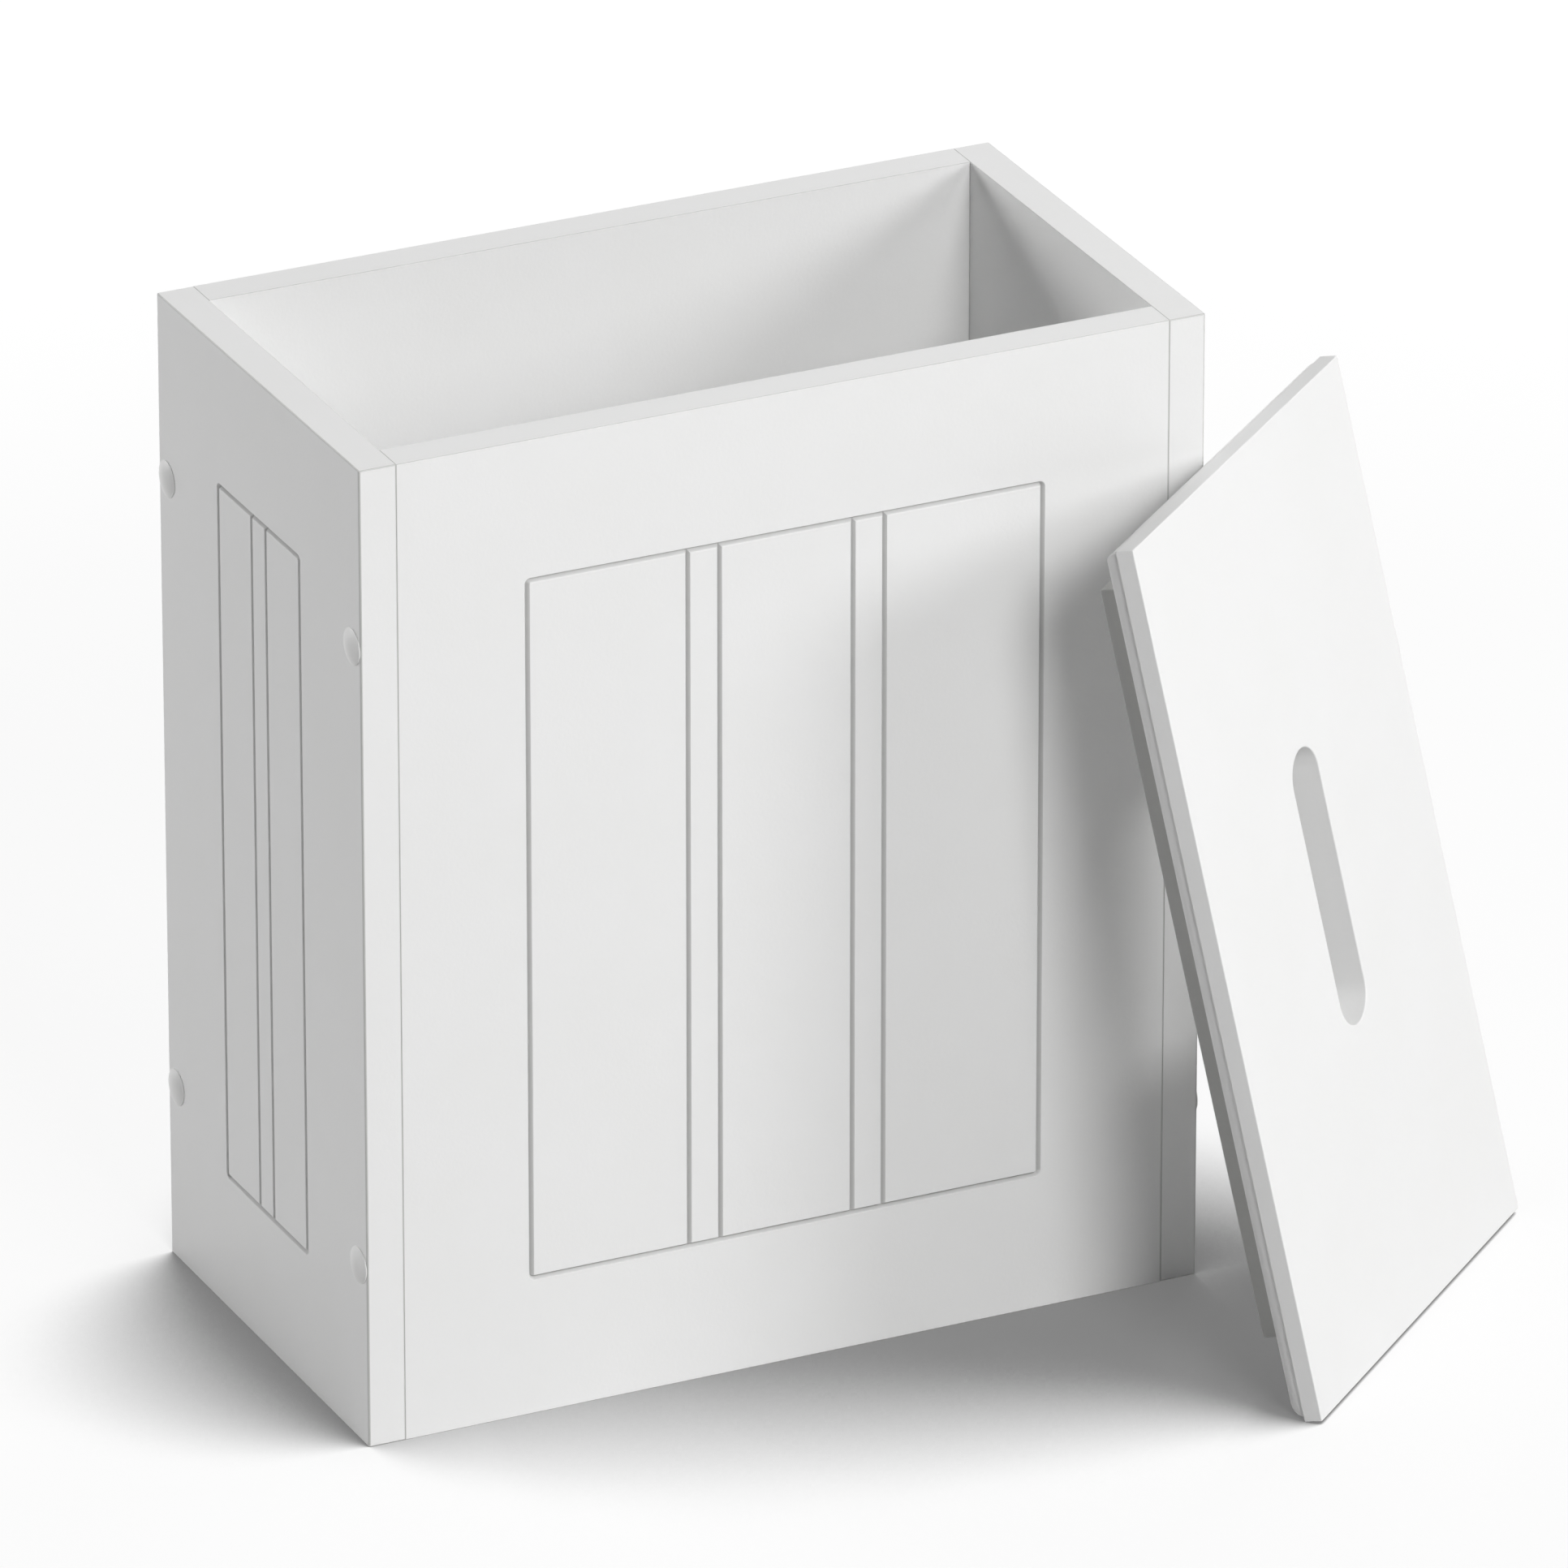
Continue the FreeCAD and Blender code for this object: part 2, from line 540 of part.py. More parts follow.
def make_batten(doc, label, side):
    """Makes a locating batten under the lid, drilled and countersunk from below."""
    body = add_body(doc, label, LID_PLACE)
    outline = add_sketch(body, "outline", "XY_Plane")
    faces = [f"{side} * {face}" for face in (BATTEN_INNER, BATTEN_OUTER)]
    low, high = faces if side > 0 else reversed(faces)
    add_outline(outline, rectangle(f"-{BATTEN_HALF_LENGTH}", BATTEN_HALF_LENGTH, low, high))
    pad(body, "strip", outline, "Sizes.batten_thickness", True)
    centres = add_sketch(body, "screw_centres", "XY_Plane", ("0", "0", "-Sizes.batten_thickness"))
    for x in (f"-{BATTEN_SCREW_X}", "0", BATTEN_SCREW_X):
        add_circle(centres, x, f"{side} * {BATTEN_MIDDLE}", BATTEN_SCREW_BORE)
    depth = "Sizes.batten_thickness"
    countersunk_hole(body, "screw_holes", centres, BATTEN_SCREW_BORE, BATTEN_HEAD_BORE, depth, True)
    return body


def make_batten_screws(doc, label, side):
    """Makes a batten's countersunk screws, with cross recesses, driven up into the lid."""
    body = add_body(doc, f"{label}_screws", LID_PLACE)
    first_x = f"-{BATTEN_SCREW_X}"
    middle = f"{side} * {BATTEN_MIDDLE}"
    profile = add_sketch(body, "half_profile", "XZ_Plane", (first_x, "0", f"-{middle}"))
    head = "(Sizes.batten_screw_head_diameter / 2)"
    shank = "(Sizes.batten_screw_diameter / 2)"
    low = "-Sizes.batten_thickness"
    add_outline(profile, (
        ("0", low),
        (head, low),
        (shank, f"({low} + {head} - {shank})"),
        (shank, f"(Sizes.batten_screw_bite - {shank})"),
        ("0", "Sizes.batten_screw_bite"),
    ))
    features = [revolve(body, "turned_screw", profile, "V_Axis")]
    long, short = "(Sizes.recess_length / 2)", "(Sizes.recess_width / 2)"
    for name, reach_x, reach_y in (("recess_along", long, short), ("recess_across", short, long)):
        arm = add_sketch(body, f"{name}_outline", "XY_Plane", (first_x, middle, low))
        add_outline(arm, rectangle(f"-{reach_x}", reach_x, f"-{reach_y}", reach_y))
        features.append(pocket(body, name, arm, "Sizes.recess_depth", True))
    repeat(body, "row", features, "X_Axis", f"2 * {BATTEN_SCREW_X}", BATTEN_SCREW_COUNT)
    return body


def check_and_write(doc, bodies):
    """Stops on a failed object or a bad solid, and then writes one file for each sub-part."""
    doc.recompute()
    failed = [item.Name for item in doc.Objects if {"Invalid", "Error"} & set(item.State)]
    if failed:
        raise RuntimeError(f"failed objects: {failed}")
    for body in bodies:
        if body.Shape.isNull() or not body.Shape.isValid():
            raise RuntimeError(f"{body.Label} has no valid shape")
    os.makedirs("parts", exist_ok=True)
    for body in bodies:
        body.Shape.exportStep(f"parts/{body.Label}.step")
        print(body.Label, len(body.Shape.Solids), "solids", round(body.Shape.Volume), "mm3")


def main():
    """Builds every sub-part in the box's own frame."""
    doc = FreeCAD.newDocument("storage_box")
    make_sheet(doc)
    bodies = [
        make_side_panel(doc, "left_side_panel", plain_place(f"-{HALF_WIDTH}", "0", "0")),
        make_side_panel(doc, "right_side_panel", plain_place(HALF_WIDTH, "0", "0", 180)),
        make_wall_panel(doc, "front_panel", plain_place("0", f"-{HALF_DEPTH}", "0"), True),
        make_wall_panel(doc, "back_panel", plain_place("0", HALF_DEPTH, "0", 180), False),
        make_base_panel(doc),
    ]
    for corner, side_x, side_y in CORNERS:
        bodies.append(make_screws(doc, corner, side_x, side_y))
        bodies.append(make_caps(doc, corner, side_x, side_y))
        bodies.append(make_dowels(doc, corner, side_x, side_y))
    bodies.append(make_lid_panel(doc))
    for label, side in BATTENS:
        bodies.append(make_batten(doc, label, side))
        bodies.append(make_batten_screws(doc, label, side))
    check_and_write(doc, bodies)


main()
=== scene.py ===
import logging
import math
from collections.abc import Callable, Sequence
from dataclasses import dataclass, field
from enum import Enum
from functools import partial

import bmesh
import bpy
from mathutils import Euler, Matrix, Vector


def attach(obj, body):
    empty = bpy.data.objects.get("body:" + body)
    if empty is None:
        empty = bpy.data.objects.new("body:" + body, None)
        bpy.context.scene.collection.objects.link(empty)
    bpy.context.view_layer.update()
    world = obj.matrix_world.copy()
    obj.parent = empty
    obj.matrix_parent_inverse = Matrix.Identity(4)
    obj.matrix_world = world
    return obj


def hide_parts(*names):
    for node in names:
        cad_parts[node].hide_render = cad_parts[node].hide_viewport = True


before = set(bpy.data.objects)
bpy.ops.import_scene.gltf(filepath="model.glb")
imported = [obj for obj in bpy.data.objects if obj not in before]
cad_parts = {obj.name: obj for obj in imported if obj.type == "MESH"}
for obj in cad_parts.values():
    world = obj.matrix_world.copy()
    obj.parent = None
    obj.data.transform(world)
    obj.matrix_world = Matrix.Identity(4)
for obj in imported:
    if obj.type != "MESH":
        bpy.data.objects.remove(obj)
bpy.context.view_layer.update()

LOG = logging.getLogger("storage_box")

# Sizes below are in millimetres and angles in degrees. Meshes are in metres, in the CAD frame:
# +X right, +Y back, +Z up, with the origin on the floor under the middle of the box.
MM = 0.001

# Mesh attribute that says how far in a routed groove a point lies, 0 on the face and 1 at the bottom.
# It sets how much painted shade the groove's colour takes.
ROUTED = "routed"

# Angle between faces above which an edge stays sharp in the shading, and how strongly large faces pull
# the shading of their edges flat.
CREASE = 40.0
FLAT_WEIGHT = 90

# Facets across an eased edge, across the lid's rounded edge and round half of a screw hole.
EASE_STEPS = 3
ROUND_STEPS = 14
HOLE_STEPS = 16

# Decimals of a millimetre to which the mesh lines of a board are told apart.
LINE_DIGITS = 4

# Noise of the soft mottle and of the fine relief, and the range in which most of its values lie.
MOTTLE = {"Detail": 3.0, "Roughness": 0.55}
RELIEF = {"Detail": 2.0, "Roughness": 0.5}
NOISE_RANGE = (0.3, 0.7)

# Sockets of a node that mixes colours: its two colours and its result.
MIX_FIRST = 6
MIX_SECOND = 7
MIX_RESULT = 2

WHITE = "#ffffff"

Pair = tuple[float, float]
Triple = tuple[float, float, float]
Profile = list[Pair]


class Body(Enum):
    """The rigid bodies that pieces ride on."""

    CABINET = "cabinet"
    LID = "lid"


class Slot(Enum):
    """The record's material slots, by name."""

    BOARD = "painted_board"
    CAP = "cap_plastic"
    STEEL = "plated_steel"


class Side(Enum):
    """The four sides of a board, seen from outside."""

    FOOT = 0
    RIGHT = 1
    TOP = 2
    LEFT = 3


class Face(Enum):
    """The two faces of a board."""

    OUTER = 0
    INNER = 1


def linear(colour: str) -> tuple[float, float, float, float]:
    """Turns an sRGB hex colour to linear values.

    Args:
        colour: Six hex digits after a hash sign.

    Returns:
        Linear red, green, blue and an alpha of one.
    """
    channels = [int(colour[at:at + 2], 16) / 255 for at in (1, 3, 5)]
    red, green, blue = (c / 12.92 if c <= 0.04045 else ((c + 0.055) / 1.055) ** 2.4 for c in channels)
    return (red, green, blue, 1.0)


def per_metre(size_mm: float) -> float:
    """Returns the texture scale at which one cell of a pattern is this many millimetres wide."""
    return 1.0 / (size_mm * MM)


def add_node(
    tree: bpy.types.NodeTree, kind: str, inputs: dict | None = None, output: str | int = 0, **settings,
) -> bpy.types.NodeSocket | None:
    """Adds a node with its settings and links.

    Args:
        tree: The node tree to add to.
        kind: The node's type name.
        inputs: Values or output sockets by input name or number. A list goes into a multi-input.
        output: Name or number of the output to return.
        **settings: Properties of the node itself.

    Returns:
        That output, or None from a node that has no outputs.
    """
    node = tree.nodes.new(kind)
    for name, value in settings.items():
        setattr(node, name, value)
    for key, value in (inputs or {}).items():
        for item in value if isinstance(value, list) else [value]:
            if isinstance(item, bpy.types.NodeSocket):
                tree.links.new(item, node.inputs[key])
            else:
                node.inputs[key].default_value = item
    return node.outputs[output] if node.outputs else None


def blank_tree(owner: bpy.types.Material | bpy.types.World) -> bpy.types.NodeTree:
    """Gives a material or a world an empty node tree.

    Args:
        owner: The material or world.

    Returns:
        Its tree, with no nodes.
    """
    owner.use_nodes = True
    owner.node_tree.nodes.clear()
    return owner.node_tree


def link(name: str, data: bpy.types.ID) -> bpy.types.Object:
    """Puts data into the scene.

    Args:
        name: Name of the new object.
        data: Its mesh, light or camera.

    Returns:
        The new object.
    """
    holder = bpy.data.objects.new(name, data)
    bpy.context.scene.collection.objects.link(holder)
    return holder


def to_mesh(draft: bmesh.types.BMesh, name: str) -> bpy.types.Mesh:
    """Turns a draft into a mesh and frees the draft.

    Args:
        draft: The draft.
        name: Name of the mesh.

    Returns:
        The mesh.
    """
    data = bpy.data.meshes.new(name)
    draft.to_mesh(data)
    draft.free()
    return data


@dataclass(frozen=True)
class Finish:
    """A surface finish: two close colours that mottle, and a fine relief.

    Attributes:
        name: The real material's name.
        colour: Main colour.
        second: Colour that the mottle drifts to.
        mottle: Width of one patch of the mottle.
        roughness: Lowest and highest roughness.
        relief: Width of one cell of the surface relief.
        relief_height: Height of that relief.
        stretch: Stretch of both patterns along X, Y and Z.
        metallic: One for a bare metal.
        specular: Specular level.
        painted_groove_shade: Colour at the bottom of a routed groove, where there is one: painted shade.
    """

    name: str
    colour: str
    second: str
    mottle: float
    roughness: Pair
    relief: float
    relief_height: float
    stretch: Triple = (1.0, 1.0, 1.0)
    metallic: float = 0.0
    specular: float = 0.5
    painted_groove_shade: str | None = None

    def material(self) -> bpy.types.Material:
        """Makes the finish as a material, once.

        Returns:
            The material of that name.
        """
        found = bpy.data.materials.get(self.name)
        if found:
            return found
        material = bpy.data.materials.new(self.name)
        add = partial(add_node, blank_tree(material))
        place = add("ShaderNodeTexCoord", output="Object")
        place = add("ShaderNodeMapping", {"Vector": place, "Scale": self.stretch})
        patches, cells = (
            add("ShaderNodeTexNoise", {"Vector": place, "Scale": per_metre(width), **noise}, "Fac")
            for width, noise in ((self.mottle, MOTTLE), (self.relief, RELIEF))
        )
        mixes = {self.second: patches}
        # Painted shade: the colour greys towards the bottom of a routed groove, by the groove attribute.
        if self.painted_groove_shade:
            mixes[self.painted_groove_shade] = add("ShaderNodeAttribute", output="Fac", attribute_name=ROUTED)
        colour = linear(self.colour)
        for other, share in mixes.items():
            mix = {"Factor": share, MIX_FIRST: colour, MIX_SECOND: linear(other)}
            colour = add("ShaderNodeMix", mix, MIX_RESULT, data_type="RGBA")
        (least, most), (low, high) = NOISE_RANGE, self.roughness
        roughness = add(
            "ShaderNodeMapRange",
            {"Value": cells, "From Min": least, "From Max": most, "To Min": low, "To Max": high},
        )
        height = self.relief_height * MM
        bump = add("ShaderNodeBump", {"Height": cells, "Distance": height, "Strength": 1.0})
        shader = add("ShaderNodeBsdfPrincipled", {
            "Base Color": colour, "Roughness": roughness, "Normal": bump,
            "Metallic": self.metallic, "Specular IOR Level": self.specular,
        })
        add("ShaderNodeOutputMaterial", {"Surface": shader})
        return material


# Satin paint sprayed on fibreboard: near white, smooth, with a faint orange peel. The cells of the
# peel are drawn a little coarser than real ones so that they show at the render's scale. Towards the
# bottom of the routed grooves the colour goes grey: painted shade, standing in for the shade there.
PAINT_WITH_GROOVE_SHADE = Finish(
    "satin_painted_fibreboard_with_groove_shade", "#f4f4f4", "#f1f1f0",
    mottle=45.0, roughness=(0.42, 0.54), relief=1.4, relief_height=0.04, painted_groove_shade="#cacac9",
)
# The same paint drawn greyer over the arrises: a painted shade line along the eased edges and joints.
PAINTED_ARRIS_SHADE = Finish(
    "satin_paint_with_painted_arris_shade", "#d8d8d6", "#d0d0ce",
    mottle=12.0, roughness=(0.5, 0.66), relief=0.7, relief_height=0.015,
)
# The battens' paint, drawn grey: painted shade for where they hide under the lid.
PAINTED_BATTEN_SHADE = Finish(
    "paint_with_painted_batten_shade", "#c2c2c0", "#b9b9b7",
    mottle=25.0, roughness=(0.5, 0.64), relief=1.2, relief_height=0.04,
)
# White lacquered hardboard: flatter than the sprayed boards, with a fine felt texture.
BASE_LACQUER = Finish(
    "white_lacquered_hardboard", "#efefed", "#eae9e6",
    mottle=30.0, roughness=(0.5, 0.62), relief=0.8, relief_height=0.03,
)
# Moulded polypropylene: even white, low gloss from the mould's spark-eroded face.
CAP_PLASTIC = Finish(
    "moulded_white_polypropylene", "#f2f2f1", "#efefee",
    mottle=6.0, roughness=(0.34, 0.44), relief=0.5, relief_height=0.01,
)
# Zinc-plated steel: pale grey and clear-passivated, with soft cloudy patches.
ZINC = Finish(
    "zinc_plated_steel", "#c9cac9", "#b4b5b2",
    mottle=3.0, roughness=(0.26, 0.42), relief=0.5, relief_height=0.01, metallic=1.0,
)
# Turned beech: pinkish tan with short flecks along the grain, which runs along the dowel.
BEECH = Finish(
    "turned_beech", "#cda77b", "#b98f62",
    mottle=2.0, roughness=(0.55, 0.72), relief=0.6, relief_height=0.05, stretch=(0.15, 1.0, 1.0),
)


def freeze(piece: bpy.types.Object) -> bpy.types.Object:
    """Turns a piece's modifiers into plain mesh.

    Args:
        piece: The object to freeze.

    Returns:
        The same object, with its evaluated mesh and no modifiers.
    """
    bpy.context.view_layer.update()
    graph = bpy.context.evaluated_depsgraph_get()
    mesh = bpy.data.meshes.new_from_object(piece.evaluated_get(graph), depsgraph=graph)
    piece.modifiers.clear()
    old = piece.data
    piece.data = mesh
    mesh.name = piece.name
    if old.users == 0:
        bpy.data.meshes.remove(old)
    return piece


def new_piece(name: str, mesh: bpy.types.Mesh, finishes: Sequence[Finish]) -> bpy.types.Object:
    """Links a mesh as a piece with its finishes, in slot order.

    Args:
        name: The piece's name.
        mesh: Its mesh, already in place.
        finishes: One finish for each material slot.

    Returns:
        The new object.
    """
    piece = link(name, mesh)
    for finish in finishes:
        piece.data.materials.append(finish.material())
    return piece


def smooth_shade(piece: bpy.types.Object) -> None:
    """Shades a piece smoothly, but for sharp edges, and keeps flats flat.

    Args:
        piece: The piece to shade.
    """
    piece.data.polygons.foreach_set("use_smooth", [True] * len(piece.data.polygons))
    piece.data.set_sharp_from_angle(angle=math.radians(CREASE))
    weighted = piece.modifiers.new("flat_faces", "WEIGHTED_NORMAL")
    weighted.mode = "FACE_AREA"
    weighted.weight = FLAT_WEIGHT
    weighted.keep_sharp = True
    freeze(piece)


def settle(piece: bpy.types.Object, node: str, body: Body) -> None:
    """Shades a finished piece and puts it in its CAD node's place.

    Args:
        piece: The finished piece.
        node: The CAD node that it stands for.
        body: The body that it rides on.
    """
    smooth_shade(piece)
    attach(piece, body.value)
    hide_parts(node)
    LOG.info("%s: %d faces", piece.name, len(piece.data.polygons))


def dress(node: str, finish: Finish) -> None:
    """Gives a CAD node that keeps its own shape a finish.

    Args:
        node: The CAD node's name.
        finish: Its finish.
    """
    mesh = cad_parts[node].data
    mesh.materials.clear()
    mesh.materials.append(finish.material())
    LOG.info("%s: dressed", node)


@dataclass(frozen=True)
class Plane:
    """Where a board stands.

    Attributes:
        origin: A point on the floor in its outer face.
        across: Direction across it, seen from outside.
        inward: Direction from its outer face to its inner one.
    """

    origin: Triple
    across: Triple
    inward: Triple

    def place(self, across: float, up: float, inward: float) -> Vector:
        """Returns a point of the board in metres."""
        spot = Vector(self.origin) + across * Vector(self.across) + inward * Vector(self.inward)
        return (spot + Vector((0, 0, up))) * MM


@dataclass(frozen=True)
class GrooveFrame:
    """A frame of routed V grooves with upright ones inside it, symmetric about the board's middle.

    Attributes:
        half_across: From the middle to the frame's outer uprights.
        low: Height of the frame's lower groove.
        high: Height of its upper groove.
        strips: Places of the inner uprights, left to right.
        half_width: Half of the groove's width at the surface.
        depth: Depth at the bottom of the V.
        corner: Radius at the frame's corners.
        beside: Width of the fine mesh beside a groove.
        facets: Mesh lines across half of a groove.
    """

    half_across: float
    low: float
    high: float
    strips: tuple[float, ...]
    half_width: float = 1.05
    depth: float = 1.8
    corner: float = 1.5
    beside: float = 0.35
    facets: int = 6

    def sunk(self, across: float, up: float) -> float:
        """Tells how deep in a groove a point of the face lies.

        Args:
            across: From the board's middle.
            up: Height over the floor.

        Returns:
            Zero outside the grooves and one at the bottom.
        """
        half_up = (self.high - self.low) / 2
        rise = up - (self.high + self.low) / 2
        out_x = abs(across) - self.half_across + self.corner
        out_y = abs(rise) - half_up + self.corner
        outside = math.hypot(max(out_x, 0.0), max(out_y, 0.0))
        nearest = abs(outside + min(max(out_x, out_y), 0.0) - self.corner)
        over = max(abs(rise) - half_up, 0.0)
        for strip in self.strips:
            nearest = min(nearest, math.hypot(across - strip, over))
        return 1.0 - min(nearest / self.half_width, 1.0)

    def _near(self, middle: float, reach_low: float, reach_high: float, step: float) -> list[float]:
        """Returns evenly spaced lines on both sides of a groove."""
        count = round((reach_low + reach_high) / step)
        return [middle - reach_low + (reach_low + reach_high) * k / count for k in range(count + 1)]

    def lines(self) -> tuple[list[float], list[float]]:
        """Lays mesh lines that follow the grooves closely.

        Returns:
            Lines across and lines up, in any order.
        """
        rim = self.half_width + self.beside
        turn = self.corner + rim
        step = self.half_width / self.facets
        across = self._near(-self.half_across, rim, turn, step)
        across += self._near(self.half_across, turn, rim, step)
        for strip in self.strips:
            across += self._near(strip, rim, rim, step)
        up = self._near(self.low, rim, turn, step) + self._near(self.high, turn, rim, step)
        return across, up


@dataclass(frozen=True)
class Arrises:
    """Radii of a board's eased edges.

    Attributes:
        joint: Where boards meet.
        fine: Along top and foot.
        rim: Along top and foot of the side panels' outer faces.
        corner: On the outer upright corners.
    """

    joint: float = 0.35
    fine: float = 0.22
    rim: float = 0.5
    corner: float = 0.75


@dataclass(frozen=True)
class Board:
    """A flat upright board with eased edges and, where it has them, grooves in its outer face.

    Attributes:
        name: Name of the piece.
        plane: Where the board stands.
        half_across: Half of its width.
        height: Its height.
        thickness: Its thickness.
        grooves: The grooves in its outer face, if any.
        ease: Gives the radius of each edge from the face and the side that it bounds.
    """

    name: str
    plane: Plane
    half_across: float
    height: float
    thickness: float
    grooves: GrooveFrame | None
    ease: Callable[[Face, Side], float]

    @property
    def widest(self) -> float:
        """Radius of the most eased edge."""
        return max(self.ease(face, side) for face in Face for side in Side)

    def _lines(self) -> tuple[list[float], list[float]]:
        """Lays the board's mesh lines.

        Returns:
            Sorted lines across and up, edges included.
        """
        across, up = self.grooves.lines() if self.grooves else ([], [])
        across = sorted({-self.half_across, self.half_across, *(round(a, LINE_DIGITS) for a in across)})
        up = sorted({0.0, self.height, *(round(u, LINE_DIGITS) for u in up)})
        return across, up

    def _outer_face(
        self, draft: bmesh.types.BMesh, across: list[float], up: list[float],
    ) -> list[list[bmesh.types.BMVert]]:
        """Draws the outer face with its grooves.

        Args:
            draft: The mesh to draw in.
            across: Mesh lines across.
            up: Mesh lines up.

        Returns:
            The face's points by line across and line up.
        """
        routed = draft.verts.layers.float.new(ROUTED)
        points = [[draft.verts.new() for _ in up] for _ in across]
        for column, a in zip(points, across):
            for point, u in zip(column, up):
                sunk = self.grooves.sunk(a, u) if self.grooves else 0.0
                point.co = self.plane.place(a, u, sunk * self.grooves.depth if self.grooves else 0.0)
                # The eased-up share of the groove's depth sets how much painted shade the colour takes.
                point[routed] = math.sqrt(sunk)
        for left, right in zip(points, points[1:]):
            for j in range(len(up) - 1):
                draft.faces.new((left[j], right[j], right[j + 1], left[j + 1]))
        return points

    def _square(self) -> bmesh.types.BMesh:
        """Draws the board with square edges, each weighted by its radius.

        Returns:
            The closed mesh.
        """
        across, up = self._lines()
        last, top = len(across) - 1, len(up) - 1
        draft = bmesh.new()
        outer = self._outer_face(draft, across, up)
        ring = (
            [(i, 0, Side.FOOT) for i in range(last)]
            + [(last, j, Side.RIGHT) for j in range(top)]
            + [(i, top, Side.TOP) for i in range(last, 0, -1)]
            + [(0, j, Side.LEFT) for j in range(top, 0, -1)]
        )
        inner = [draft.verts.new(self.plane.place(across[i], up[j], self.thickness)) for i, j, _ in ring]
        rim = [outer[i][j] for i, j, _ in ring]
        weight = draft.edges.layers.float.new("bevel_weight_edge")
        widest = self.widest
        for k, (_, _, side) in enumerate(ring):
            after = (k + 1) % len(ring)
            before = ring[k - 1][2]
            draft.faces.new((rim[after], rim[k], inner[k], inner[after]))
            edges = [
                (rim[k], rim[after], self.ease(Face.OUTER, side)),
                (inner[k], inner[after], self.ease(Face.INNER, side)),
            ]
            if side != before:
                edges.append((rim[k], inner[k], min(self.ease(Face.OUTER, at) for at in (side, before))))
            for start, end, radius in edges:
                draft.edges.get((start, end))[weight] = radius / widest
        draft.faces.new(list(reversed(inner)))
        return draft

    def build(self) -> bpy.types.Object:
        """Builds the board.

        Returns:
            The finished piece, not yet on its body.
        """
        piece = new_piece(self.name, to_mesh(self._square(), self.name), (PAINT_WITH_GROOVE_SHADE, PAINTED_ARRIS_SHADE))
        bevel = piece.modifiers.new("eased_edges", "BEVEL")
        bevel.limit_method = "WEIGHT"
        bevel.width = self.widest * MM
        bevel.segments = EASE_STEPS
        # The eased edges take the second finish, which paints a grey shade line along them.
        bevel.material = 1
        return freeze(piece)


@dataclass
class Cabinet:
    """The open-topped box: two side panels with the front and back panels between them.

    Attributes:
        width: Overall width.
        depth: Overall depth.
        height: Overall height.
        board: Board thickness.
        frame_end: From top and foot to the middle of the frame's level grooves.
        front_margin: From the box's sides to the middle of the front frame's uprights.
        side_margin: From the side panel's edges to the middle of its frame's uprights.
        strip: Width of a strip between two inner uprights, middle to middle.
        front_strip: From the middle of the front to the middle of each strip.
        arrises: Radii of the eased edges.
    """

    width: float = 347.0
    depth: float = 186.0
    height: float = 400.0
    board: float = 15.0
    frame_end: float = 56.7
    front_margin: float = 67.5
    side_margin: float = 55.6
    strip: float = 13.0
    front_strip: float = 34.0
    arrises: Arrises = field(default_factory=Arrises)

    def _frame(self, half_across: float, strips: tuple[float, ...]) -> GrooveFrame:
        """Returns a groove frame at the common heights."""
        return GrooveFrame(half_across, self.frame_end, self.height - self.frame_end, strips)

    def _ease_side(self, face: Face, side: Side) -> float:
        """Gives the edge radii of a side panel.

        Args:
            face: The face that the edge bounds.
            side: The side that it runs along.

        Returns:
            The radius.
        """
        outer = face is Face.OUTER
        if side in (Side.TOP, Side.FOOT):
            return self.arrises.rim if outer else self.arrises.fine
        return self.arrises.corner if outer else self.arrises.joint

    def _ease_wall(self, face: Face, side: Side) -> float:
        """Returns the edge radii of a panel that stands between the sides."""
        return self.arrises.fine if side in (Side.TOP, Side.FOOT) else self.arrises.joint

    def build(self) -> None:
        """Builds and settles the four walls and dresses the base."""
        half_width, half_depth, half_strip = self.width / 2, self.depth / 2, self.strip / 2
        side_frame = self._frame(half_depth - self.side_margin, (-half_strip, half_strip))
        inner_strips = tuple(
            sign * self.front_strip + step for sign in (-1, 1) for step in (-half_strip, half_strip)
        )
        front_frame = self._frame(half_width - self.front_margin, inner_strips)
        inner_half = half_width - self.board
        side, wall = self._ease_side, self._ease_wall
        for name, origin, across, inward, half_across, grooves, ease in (
            ("left_side_panel", (-half_width, 0, 0), (0, -1, 0), (1, 0, 0), half_depth, side_frame, side),
            ("right_side_panel", (half_width, 0, 0), (0, 1, 0), (-1, 0, 0), half_depth, side_frame, side),
            ("front_panel", (0, -half_depth, 0), (1, 0, 0), (0, 1, 0), inner_half, front_frame, wall),
            ("back_panel", (0, half_depth, 0), (-1, 0, 0), (0, -1, 0), inner_half, None, wall),
        ):
            plane = Plane(origin, across, inward)
            panel = Board(f"{name}_painted", plane, half_across, self.height, self.board, grooves, ease)
            settle(panel.build(), name, Body.CABINET)
        dress("base_panel", BASE_LACQUER)


# Socket type of a tree's input for each type of value.
SOCKET_TYPES = {
    float: "NodeSocketFloat",
    int: "NodeSocketInt",
    tuple: "NodeSocketVector",
    bpy.types.Material: "NodeSocketMaterial",
}


